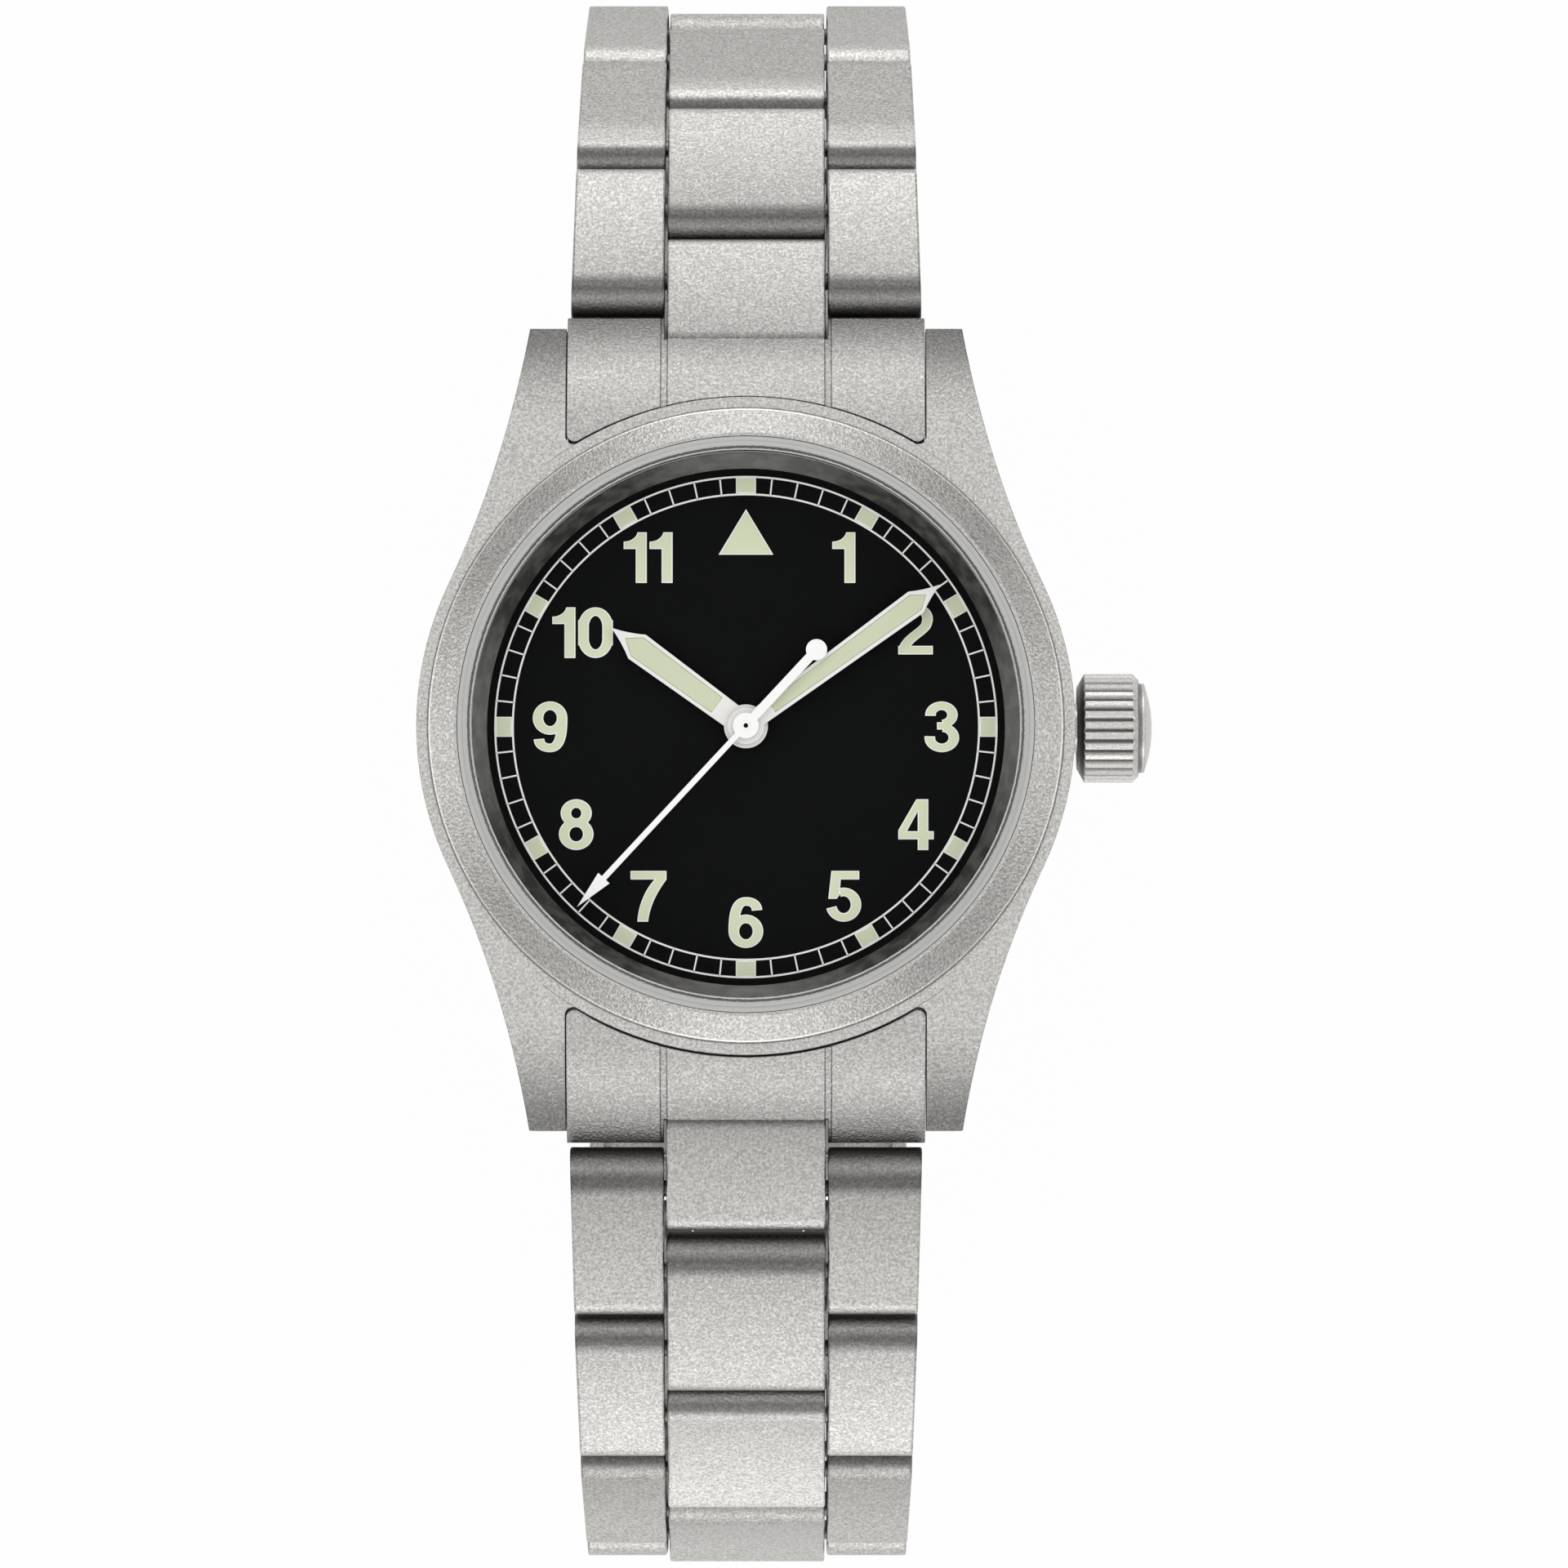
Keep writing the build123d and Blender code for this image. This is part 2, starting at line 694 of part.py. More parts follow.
def make_bridge():
    """Train bridge on three pillars, with bearing holes for the arbors."""
    plate = block(-bridge_left, bridge_right, -bridge_bottom, bridge_top,
                  bridge_base, bridge_floor)
    plate = fillet(plate.edges().filter_by(Axis.Z), pillar_radius)
    inset = 2 * pillar_radius
    corners = ((-bridge_left + inset, bridge_top - inset),
               (bridge_right - inset, bridge_top - inset),
               (bridge_right - inset, -bridge_bottom + inset))
    for x, y in corners:
        plate += disc(pillar_radius, bridge_base, plate_base - bridge_base, x, y)
    arbors = ((0, 0, seconds_arbor_radius), (third_x, third_y, arbor_radius),
              (intermediate_x, intermediate_y, arbor_radius), (rotor_x, rotor_y, arbor_radius))
    for x, y, radius in arbors:
        plate -= disc(radius + running, 0, bridge_floor + slip, x, y)
    return plate


def make_battery():
    """Button cell with its narrower cap."""
    cap = battery_height / 4
    can = disc(battery_radius, battery_base + cap, battery_height - cap, battery_x, battery_y)
    return can + disc(battery_radius - cap, battery_base, cap, battery_x, battery_y)


def make_stator():
    """Flat stator: a bridge round the rotor and two legs to the coil core."""
    top = stator_base + stator_thickness
    body = block(stator_left, stator_right, stator_front, stator_back, stator_base, top)
    body -= block(stator_left + stator_leg, stator_right - stator_leg,
                  stator_front + stator_depth, stator_back + overrun,
                  stator_base - overrun, top + overrun)
    return body - disc(rotor_magnet_radius + rotor_air_gap, 0, case_top, rotor_x, rotor_y)


def make_coil():
    """Coil winding on its flat core, which lies on the stator's legs."""
    y = stator_back - core_width / 2
    core = block(stator_left, stator_right, y - core_width / 2, y + core_width / 2,
                 stator_base - core_thickness, stator_base)
    z = stator_base - core_thickness / 2
    hole = block(stator_left, stator_right, y - core_width / 2, y + core_width / 2,
                 stator_base - core_thickness, stator_base)
    winding = lying_rod(coil_radius, stator_left + stator_leg + coil_margin,
                        stator_right - stator_leg - coil_margin, y, z) - hole
    return core, winding


def make_board():
    """Circuit board with its chip and the resonator can."""
    top = plate_base
    board = Pos(board_x, board_y, top - board_thickness / 2) * Box(
        board_length, board_width, board_thickness)
    under = top - board_thickness
    chip_y = board_y + board_width / 2 - chip_side
    chip = Pos(board_x, chip_y, under - chip_height / 2) * Box(chip_side, chip_side, chip_height)
    can_y = board_y - board_width / 2 + 2 * resonator_radius
    can = lying_rod(resonator_radius, board_x - resonator_length / 2,
                    board_x + resonator_length / 2, can_y, under - resonator_radius)
    return board, chip, can


def make_tube():
    """Tube pressed into the case wall, which the stem runs through."""
    inner = sqrt(case_bore_radius**2 + tube_radius**2)
    outer = case_radius + crown_start_gap + tube_reach
    body = lying_rod(tube_radius, inner, outer, 0, stem_level)
    return body - lying_rod(stem_radius + slip, 0, outer + overrun, 0, stem_level)


crown_start = case_radius + crown_start_gap


def make_stem():
    """Winding stem with the groove that the setting lever holds."""
    end = crown_start + crown_bore_depth + stem_radius
    body = lying_rod(stem_radius, stem_inner_end, end, 0, stem_level)
    groove = lying_rod(stem_radius + overrun, stem_groove_place - stem_groove_width / 2,
                       stem_groove_place + stem_groove_width / 2, 0, stem_level)
    core = lying_rod(stem_groove_radius, stem_inner_end, end, 0, stem_level)
    return (body - groove) + (core & body)


def make_lever():
    """Setting lever under the main plate, with a nib in the stem's groove."""
    top = plate_base - slip
    arm = block(stem_groove_place - lever_width / 2, stem_groove_place + lever_width / 2,
                -lever_width / 2, lever_length, top - lever_thickness, top)
    arm = fillet(arm.edges().filter_by(Axis.Z), lever_width / 4)
    nib_top = stem_level - stem_groove_radius - slip
    nib = disc(lever_nib_radius, top - lever_thickness, nib_top - top + lever_thickness,
               stem_groove_place, 0)
    return arm + nib


def make_crown():
    """Fluted crown with a coned back, a bevelled front, a rim and a domed cap."""
    x0 = 0
    x1 = x0 + crown_back_length
    x2 = x1 + crown_barrel_length
    x3 = x2 + crown_front_length
    x4 = x3 + crown_rim_length
    front_radius = crown_radius - crown_front_length
    barrel = turned(((0, x0), (crown_back_radius, x0), (crown_radius, x1),
                     (crown_radius, x2), (front_radius, x3), (0, x3)))
    step = 360 / crown_flutes
    points = []
    for flute in range(crown_flutes):
        for radius, offset in ((crown_radius, -flute_land_share), (crown_radius, flute_land_share),
                               (crown_radius - crown_flute_depth, 1 / 2)):
            points.append(place(radius, (flute + offset) * step))
    star = extrude(make_face(Polyline(*points, close=True)), x4)
    rim = disc(crown_rim_radius, x3, crown_rim_length)
    cap_radius = (crown_rim_radius**2 + crown_cap_rise**2) / (2 * crown_cap_rise)
    dome = Pos(0, 0, x4 + crown_cap_rise - cap_radius) * Sphere(cap_radius)
    cap = dome & disc(crown_rim_radius, x4, crown_cap_rise)
    body = (barrel & star) + rim + cap
    body -= disc(tube_radius + slip, -overrun, crown_bore_depth + overrun)
    body -= disc(stem_radius, 0, crown_bore_depth + stem_radius)
    return Pos(crown_start, 0, stem_level) * (Rot(0, 90, 0) * body)


flute_land_share = 0.2


# Bracelet rows. A row is modelled flat, with its first pin at the origin and its length
# along +Y, and is then turned to its tilt and moved to its place in the chain.
nose_reach = (pin_pitch - link_gap) / 2
half_thickness = link_thickness / 2
side_inner = centre_width / 2 + column_gap


def row_profile(pitch, near_reach, far_reach):
    """Side view of a link: a round nose towards the case and a tighter far corner on top."""
    near, far, half = -near_reach, pitch + far_reach, half_thickness
    low_radius = link_thickness - link_top_radius
    bend = cos(radians(45))
    top_centre = (far - link_top_radius, half - link_top_radius)
    low_centre = (far - low_radius, -half + low_radius)
    nose_y = near + half
    edges = [
        ThreePointArc((nose_y, -half), (near, 0), (nose_y, half)),
        ThreePointArc((far - link_top_radius, half),
                      (top_centre[0] + link_top_radius * bend, top_centre[1] + link_top_radius * bend),
                      (far, half - link_top_radius)),
        ThreePointArc((far, half - link_top_radius),
                      (low_centre[0] + low_radius * bend, low_centre[1] - low_radius * bend),
                      (far - low_radius, -half)),
    ]
    edges.append(Line((nose_y, half), (far - link_top_radius, half)))
    edges.append(Line((nose_y, -half), (far - low_radius, -half)))
    return Wire.combine(edges)[0]


def eased(piece, low_x, high_x):
    """Break the edges round the two flat cheeks of a link."""
    cheeks = []
    for face in piece.faces().filter_by(Axis.X):
        if abs(face.center().X - low_x) < running or abs(face.center().X - high_x) < running:
            cheeks += face.edges()
    return fillet(cheeks, link_edge_radius)


def make_centre_row(first):
    """Centre piece of a row, which turns on the pins of its neighbours."""
    pitch = first_pitch if first else pin_pitch
    near = half_thickness if first else nose_reach
    half = centre_width / 2
    piece = eased(side_prism(row_profile(pitch, near, nose_reach), half), -half, half)
    for y in (0, pitch):
        piece -= lying_rod(pin_radius + running, -half - overrun, half + overrun, y, 0)
    return [piece]


def outer_half_width(travel):
    """Half the bracelet's width at a distance along it from the first pin."""
    return side_outer_half_width - side_taper_share * travel


def make_side_cheek(travel):
    """Right side piece of a row, whose outer face follows the taper of the bracelet."""
    wide = outer_half_width(travel - nose_reach)
    narrow = outer_half_width(travel + pin_pitch + nose_reach)
    bar = side_prism(row_profile(pin_pitch, nose_reach, nose_reach), wide)
    plan = make_face(Polyline(
        (side_inner, -nose_reach), (wide, -nose_reach), (narrow, pin_pitch + nose_reach),
        (side_inner, pin_pitch + nose_reach), close=True))
    piece = bar & (Pos(0, 0, -link_thickness) * extrude(plan, 2 * link_thickness))
    cheeks = piece.faces().sort_by(Axis.X)
    return fillet(cheeks[0].edges() + cheeks[-1].edges(), link_edge_radius)


def make_side_row(travel):
    """Two side pieces and the two pins that join this row to its neighbours."""
    right = make_side_cheek(travel)
    pins = []
    for y in (0, pin_pitch):
        reach = outer_half_width(travel + y) - 2 * link_edge_radius
        pins.append(lying_rod(pin_radius, -reach, reach, y, 0))
        right -= lying_rod(pin_radius + pressed, 0, reach + pressed, y, 0)
    return [right, mirror(right, Plane.YZ), *pins]


def make_end_row(travel, notched):
    """Last row of a side: a centre tongue that widens into a full-width end."""
    tongue_half = centre_width / 2
    far = pin_pitch + half_thickness
    near_side = nose_reach + link_gap
    half = outer_half_width(travel + pin_pitch)
    full = side_prism(row_profile(pin_pitch, nose_reach, half_thickness), half)
    tall = link_thickness
    tongue = block(-tongue_half, tongue_half, -pin_pitch, near_side, -tall, tall)
    end = block(-half, half, near_side, far + overrun, -tall, tall)
    piece = eased(full & (tongue + end), -half, half)
    piece -= lying_rod(pin_radius + running, -half - overrun, half + overrun, 0, 0)
    if notched:
        start = pin_pitch - loop_radius - cover_end_gap
        piece -= block(-notch_half_width, notch_half_width, start, far + overrun, -tall, tall)
        depth = notch_half_width + bar_tip_length + slip
        piece -= lying_rod(bar_tip_radius + running, -depth, depth, pin_pitch, 0)
        return [piece]
    piece -= lying_rod(bar_radius + running, -half - overrun, half + overrun, pin_pitch, 0)
    return [piece, sprung_bar(half - bar_tip_length, half - slip, pin_pitch)]


def sprung_bar(body_reach, tip_reach, y):
    """Sprung bar along X with thinner tips."""
    body = lying_rod(bar_radius, -body_reach, body_reach, y, 0)
    return body + lying_rod(bar_tip_radius, -tip_reach, tip_reach, y, 0)


def chain_steps(drape, tuck):
    """Tilt steps of all rows of one side: the seen rows, then an even tuck."""
    return list(drape) + [tuck] * (rows_per_side - len(drape))


def chain_pins(steps):
    """Pin places (y, z) of a side that runs towards +Y, and the tilt of each row."""
    y, z, tilt = pivot_y, pivot_z, 0
    pins, tilts = [(y, z)], []
    for index, step in enumerate(steps):
        tilt += step
        length = first_pitch if index == 0 else pin_pitch
        y += length * cos(radians(tilt))
        z -= length * sin(radians(tilt))
        pins.append((y, z))
        tilts.append(tilt)
    return pins, tilts


def end_distance(tuck):
    """Distance between the last pins of the two sides for a tuck angle."""
    ya, za = chain_pins(chain_steps(drape_12, tuck))[0][-1]
    yb, zb = chain_pins(chain_steps(drape_6, tuck))[0][-1]
    return hypot(ya + yb, za - zb)


def solve_tuck():
    """Tuck angle at which the clasp just closes the loop, found by halving."""
    low, high = tuck_least_angle, tuck_most_angle
    while high - low > angle_tolerance:
        middle = (low + high) / 2
        if end_distance(middle) > clasp_span:
            low = middle
        else:
            high = middle
    return (low + high) / 2


tuck_least_angle = 12.0
tuck_most_angle = 21.0
angle_tolerance = 1e-9
tuck_angle = solve_tuck()
steps_12 = chain_steps(drape_12, tuck_angle)
steps_6 = chain_steps(drape_6, tuck_angle)
pins_12, tilts_12 = chain_pins(steps_12)
pins_6, tilts_6 = chain_pins(steps_6)


def row_travel(index):
    """Distance along the bracelet from the first pin to the first pin of a row."""
    return 0 if index == 0 else first_pitch + (index - 1) * pin_pitch


def row_name(side, index):
    """Node name of a row: centre and side pieces are numbered from the case."""
    if index == rows_per_side - 1:
        return f"bracelet_{side}_end"
    kind = "side" if index % 2 else "centre"
    return f"bracelet_{side}_{kind}_{index // 2 + 1}"


def make_row(index, notched):
    """Pieces of one row, flat."""
    if index == rows_per_side - 1:
        return make_end_row(row_travel(index), notched)
    if index % 2:
        return make_side_row(row_travel(index))
    return make_centre_row(index == 0)


def save_side(side, pins, tilts, facing):
    """Write every row of one side at its place on the closed bracelet."""
    for index in range(rows_per_side):
        y, z = pins[index]
        where = Rot(0, 0, facing) * Pos(0, y, z) * Rot(-tilts[index], 0, 0)
        pieces = make_row(index, side == "6")
        save(row_name(side, index), *[where * piece for piece in pieces])


def make_end_link():
    """Fitted link between the lugs: two side ears and a visor over the first row."""
    half = lug_gap / 2 - slip
    tip_y = end_link_reach
    mid_y = (lug_fall_start + tip_y) / 2
    top = ThreePointArc((lug_fall_start, fall_level(lug_fall_start, end_link_drop)),
                        (mid_y, fall_level(mid_y, end_link_drop)),
                        (tip_y, fall_level(tip_y, end_link_drop)))
    base = pivot_z - half_thickness
    rest = Polyline((tip_y, fall_level(tip_y, end_link_drop)), (tip_y, base + end_link_round),
                    (tip_y - end_link_round, base), (lug_fall_start, base),
                    (lug_fall_start, fall_level(lug_fall_start, end_link_drop)))
    body = side_prism(Wire.combine([top, rest])[0], half)
    plan = Pos(0, tip_y / 2) * Rectangle(2 * half, tip_y) - Circle(case_radius + 2 * slip)
    inner = [v for v in plan.vertices() if v.Y < case_radius and v.Y > overrun]
    plan = fillet(inner, lug_corner_radius)
    body = body & extrude(plan, case_top + overrun)
    mouth = side_inner
    body -= block(-mouth, mouth, visor_reach, tip_y + overrun, -overrun, case_top)
    pocket = half_thickness + 2 * slip
    body -= lying_rod(pocket, -mouth, mouth, pivot_y, pivot_z)
    body -= block(-mouth, mouth, pivot_y, tip_y + overrun, pivot_z - pocket, pivot_z)
    body -= block(-mouth, mouth, pivot_y - pocket * bend_share, tip_y, -overrun,
                  pivot_z - pocket * bend_share)
    for side in (1, -1):
        groove = Pos(side * mouth, 0, 0) * groove_prism(tip_y)
        body -= groove
    body -= lying_rod(bar_radius + running, -half - overrun, half + overrun,
                      bar_place, pivot_z)
    reach = half - 2 * slip - link_edge_radius
    body -= lying_rod(pin_radius, -reach, reach, pivot_y, pivot_z)
    pin = lying_rod(pin_radius, -reach, reach, pivot_y, pivot_z)
    return [body, pin]


bend_share = 0.7


def groove_prism(length):
    """V-shaped cutter that follows the falling top of the end link."""
    half = groove_width / 2
    solids = block(-half, half, 0, length, 0, case_top)
    top = fall_arc_prism(length + overrun, end_link_drop + groove_depth)
    return solids - top


def fall_arc_prism(length, drop):
    """Solid under the lug's falling arc, lowered by drop."""
    reach = min(length, lug_reach + overrun)
    mid_y = (lug_fall_start + reach) / 2
    arc = ThreePointArc((lug_fall_start, fall_level(lug_fall_start, drop)),
                        (mid_y, fall_level(mid_y, drop)), (reach, fall_level(reach, drop)))
    rest = Polyline((reach, fall_level(reach, drop)), (reach, -overrun), (-overrun, -overrun),
                    (-overrun, case_top - drop), (lug_fall_start, case_top - drop))
    return side_prism(Wire.combine([arc, rest])[0], centre_width)


def make_lug_bar(sign):
    """Sprung bar that holds an end link between the lugs."""
    half = lug_gap / 2 - 2 * slip
    bar = lying_rod(bar_radius, -half, half, sign * bar_place, pivot_z)
    reach = lug_gap / 2 + bar_tip_length
    return bar + lying_rod(bar_tip_radius, -reach, reach, sign * bar_place, pivot_z)


# Clasp. It is modelled in a frame whose origin is the last pin of the 12 o'clock side,
# with +Y running to the last pin of the other side and +Z pointing away from the wrist.
clasp_start_y, clasp_start_z = pins_12[-1]
clasp_end_y, clasp_end_z = -pins_6[-1][0], pins_6[-1][1]
clasp_angle = degrees(atan2(clasp_end_z - clasp_start_z, clasp_end_y - clasp_start_y))
clasp_place = Pos(0, clasp_start_y, clasp_start_z) * Rot(clasp_angle, 0, 0)
cover_inner_half = outer_half_width(row_travel(rows_per_side)) + 2 * slip
cover_outer_half = cover_inner_half + cover_wall
cover_inner_level = half_thickness + cover_head_gap
roof_start = half_thickness + cover_end_gap
hinge_y = clasp_span - blade_hinge_back
roof_end = clasp_span - half_thickness - cover_end_gap
strip_top = blade_hinge_level
strip_base = strip_top - blade_thickness


def make_cover():
    """Clasp cover: an arched roof, side walls with ears for the end bar, and its hinge pin."""
    roof_top = cover_inner_level + cover_wall
    floor = cover_inner_level - cover_depth
    outline = [
        ThreePointArc((roof_start, roof_top), ((roof_start + roof_end) / 2, roof_top + cover_arch),
                      (roof_end, roof_top)),
        Polyline((roof_end, roof_top), (roof_end, floor), (-cover_start, floor),
                 (-cover_start, half_thickness), (roof_start, roof_top)),
    ]
    body = side_prism(Wire.combine(outline)[0], cover_outer_half)
    top_edges = [edge for edge in body.edges() if edge.center().Z > cover_inner_level]
    body = fillet(top_edges, cover_edge_radius)
    body -= block(-cover_inner_half, cover_inner_half, -cover_start - overrun,
                  roof_end + overrun, floor - overrun, cover_inner_level)
    body -= block(-cover_inner_half, cover_inner_half, -cover_start - overrun, roof_start,
                  floor - overrun, roof_top + overrun)
    body -= lying_rod(bar_tip_radius + running, -cover_outer_half - overrun,
                      cover_outer_half + overrun, 0, 0)
    reach = cover_outer_half - cover_edge_radius
    pin = lying_rod(blade_pin_radius, -reach, reach, hinge_y, blade_hinge_level)
    return [body - pin, pin]


def make_long_blade():
    """Long blade: two knuckles for the short blade and a root that the cover turns on."""
    gap = short_half_width + slip
    strip = block(-blade_half_width, blade_half_width, blade_turn_place, hinge_y,
                  strip_base, strip_top)
    root = lying_rod(blade_knuckle_radius, -blade_half_width, blade_half_width,
                     hinge_y, blade_hinge_level)
    knuckle = lying_rod(blade_knuckle_radius, -blade_half_width, blade_half_width,
                        blade_turn_place, blade_turn_level)
    body = strip + root + knuckle
    middle = (blade_turn_place + hinge_y) / 2
    body -= block(-blade_window_half_width, blade_window_half_width,
                  middle - blade_window_length / 2, middle + blade_window_length / 2,
                  strip_base - overrun, strip_top + overrun)
    clear = blade_turn_place + blade_knuckle_radius + 2 * slip
    body -= block(-gap, gap, -overrun, clear, -link_thickness, link_thickness)
    body -= lying_rod(blade_pin_radius + running, -cover_outer_half, cover_outer_half,
                      hinge_y, blade_hinge_level)
    pin_reach = blade_half_width - slip
    pin = lying_rod(blade_pin_radius, -pin_reach, pin_reach, blade_turn_place, blade_turn_level)
    return [body - pin, pin]


def make_short_blade():
    """Short blade: one knuckle at the fold and a loop whose bar turns in the last link."""
    knuckle = lying_rod(blade_knuckle_radius, -short_half_width, short_half_width,
                        blade_turn_place, blade_turn_level)
    strip = block(-short_half_width, short_half_width, blade_turn_place, clasp_span,
                  short_level - blade_thickness, short_level)
    loop = lying_rod(loop_radius, -short_half_width, short_half_width, clasp_span, 0)
    body = knuckle + strip + loop
    body -= lying_rod(blade_pin_radius + running, -blade_half_width, blade_half_width,
                      blade_turn_place, blade_turn_level)
    bar = sprung_bar(notch_half_width - 2 * slip, notch_half_width + bar_tip_length, clasp_span)
    return [body - bar, bar]


def save_head():
    """Write the case, its fittings and the end links."""
    save("case_body", make_case())
    save("bezel", make_bezel())
    save("crystal", make_crystal())
    save("flange_ring", make_flange())
    save("caseback", make_back())
    save("case_seals", *make_seals())
    save("dial", make_dial())
    save("crown_tube", make_tube())
    save("end_link_12", *make_end_link())
    save("end_link_6", *[Rot(0, 0, 180) * piece for piece in make_end_link()])
    save("lug_spring_bars", make_lug_bar(1), make_lug_bar(-1))


def save_movement():
    """Write the movement's plates, motor, power supply and wheels."""
    save("movement_ring", make_movement_ring())
    save("main_plate", make_main_plate())
    save("train_bridge", make_bridge())
    save("battery_cell", make_battery())
    save("motor_stator", make_stator())
    save("motor_coil", *make_coil())
    save("circuit_board", *make_board())
    save("motor_rotor", make_rotor())
    save("intermediate_wheel", make_intermediate_wheel())
    save("seconds_wheel", make_seconds_wheel())
    save("third_wheel", make_third_wheel())
    save("centre_wheel", make_centre_wheel())
    save("minute_wheel", make_minute_wheel())
    save("hour_wheel", make_hour_wheel())


def save_hands_and_crown():
    """Write the hands, the setting lever, the stem and the crown."""
    save("hour_hand", make_blade_hand(
        hour_length, hour_shoulder, (hour_shoulder_width, hour_root_width), hour_hub_radius,
        hour_lume_start, hour_level, hour_angle, centre_pipe_radius + running + hour_pipe_wall))
    save("minute_hand", make_blade_hand(
        minute_length, minute_shoulder, (minute_shoulder_width, minute_root_width),
        minute_hub_radius, minute_lume_start, minute_level, minute_angle, centre_pipe_radius))
    save("seconds_hand", make_seconds_hand())
    save("setting_lever", make_lever())
    save("winding_stem", make_stem())
    save("crown", make_crown())


def save_bracelet():
    """Write the rows of both sides and the folding clasp."""
    save_side("12", pins_12, tilts_12, 0)
    save_side("6", pins_6, tilts_6, 180)
    for node, maker in (("clasp_cover", make_cover), ("clasp_long_blade", make_long_blade),
                        ("clasp_short_blade", make_short_blade)):
        save(node, *[clasp_place * piece for piece in maker()])


def report_chain():
    """Print the pins and tilts that the joints turn on."""
    print("tuck angle", round(tuck_angle, 3), "clasp angle", round(clasp_angle, 3))
    for side, pins, steps in (("12", pins_12, steps_12), ("6", pins_6, steps_6)):
        for (y, z), step in zip(pins, steps + [0]):
            print("side", side, "pin", round(y, 3), round(z, 3), "step", round(step, 3))


os.makedirs("parts", exist_ok=True)
save_head()
save_movement()
save_hands_and_crown()
save_bracelet()
report_chain()
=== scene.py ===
"""Looks of a steel field watch on its bracelet: finishes, dial print, luminous fillings and studio.

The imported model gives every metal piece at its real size. This script dresses those pieces,
adds what is printed or painted on them, and sets up the studio in which they are seen.
Sizes are in millimetres, and MM turns them into the metres of the scene. Names that end in _m
are sizes of the studio in metres. Stops are places along a ramp, each with its grey level.
"""

import functools
import logging
import math
from dataclasses import dataclass, field
from enum import Enum
from typing import Mapping, Sequence, Union

import bmesh
import bpy
from mathutils import Matrix, Vector


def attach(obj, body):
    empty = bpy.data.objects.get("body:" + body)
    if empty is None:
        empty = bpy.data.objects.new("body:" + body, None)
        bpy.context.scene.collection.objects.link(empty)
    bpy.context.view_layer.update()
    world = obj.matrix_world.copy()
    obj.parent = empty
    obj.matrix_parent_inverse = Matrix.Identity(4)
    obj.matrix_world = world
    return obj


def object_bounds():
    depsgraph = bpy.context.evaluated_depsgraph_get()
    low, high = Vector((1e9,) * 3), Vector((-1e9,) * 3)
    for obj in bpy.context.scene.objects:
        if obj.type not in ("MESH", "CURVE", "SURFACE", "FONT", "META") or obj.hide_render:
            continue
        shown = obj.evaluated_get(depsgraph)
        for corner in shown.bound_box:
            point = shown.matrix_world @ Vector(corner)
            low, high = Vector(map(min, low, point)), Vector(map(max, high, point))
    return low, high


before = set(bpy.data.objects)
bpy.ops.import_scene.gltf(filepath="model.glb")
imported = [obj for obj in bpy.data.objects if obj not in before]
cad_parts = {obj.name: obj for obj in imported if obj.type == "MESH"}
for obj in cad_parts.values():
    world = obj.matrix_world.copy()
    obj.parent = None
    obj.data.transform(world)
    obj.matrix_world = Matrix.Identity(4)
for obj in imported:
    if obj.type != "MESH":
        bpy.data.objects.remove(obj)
CAD_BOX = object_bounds()

MM = 0.001
SAME_LEVEL = 1e-7
HOUR_ANGLE = 30
MINUTE_ANGLE = 6
HEAD = "watch_head"

log = logging.getLogger("field_watch")

Point = tuple[float, float]
Place = tuple[float, float, float]
Stops = tuple[Point, ...]
Outline = list[Point]
Colour = tuple[float, float, float]
Value = Union["Signal", float]
Tint = Union["Signal", Colour]


def tinted(tone: Colour, share: float) -> Colour:
    """A colour made lighter or darker by a share of itself."""
    return tuple(channel * share for channel in tone)


class Signal:
    """An output socket of a node tree that can be used in sums."""

    def __init__(self, graph: "Graph", socket: bpy.types.NodeSocket) -> None:
        """Keep the socket and the graph that it belongs to."""
        self.graph = graph
        self.socket = socket

    def _math(self, operation: str, first: Value, second: Value = 0.0) -> "Signal":
        """Output of a Math node on one or two values."""
        return self.graph.node("ShaderNodeMath", {"operation": operation}, {0: first, 1: second})

    def __add__(self, other: Value) -> "Signal":
        """Sum of this and another value."""
        return self._math("ADD", self, other)

    __radd__ = __add__

    def __mul__(self, other: Value) -> "Signal":
        """Product of this and another value."""
        return self._math("MULTIPLY", self, other)

    __rmul__ = __mul__

    def __sub__(self, other: Value) -> "Signal":
        """This less another value."""
        return self._math("SUBTRACT", self, other)

    def __rsub__(self, other: Value) -> "Signal":
        """Another value less this."""
        return self._math("SUBTRACT", other, self)

    def __truediv__(self, other: Value) -> "Signal":
        """This over another value."""
        return self._math("DIVIDE", self, other)

    def __gt__(self, other: Value) -> "Signal":
        """One where this is greater than the other value, zero elsewhere."""
        return self._math("GREATER_THAN", self, other)

    def __lt__(self, other: Value) -> "Signal":
        """One where this is less than the other value, zero elsewhere."""
        return self._math("LESS_THAN", self, other)

    def largest(self, other: Value) -> "Signal":
        """The greater of this and another value."""
        return self._math("MAXIMUM", self, other)

    def absolute(self) -> "Signal":
        """This without its sign."""
        return self._math("ABSOLUTE", self)


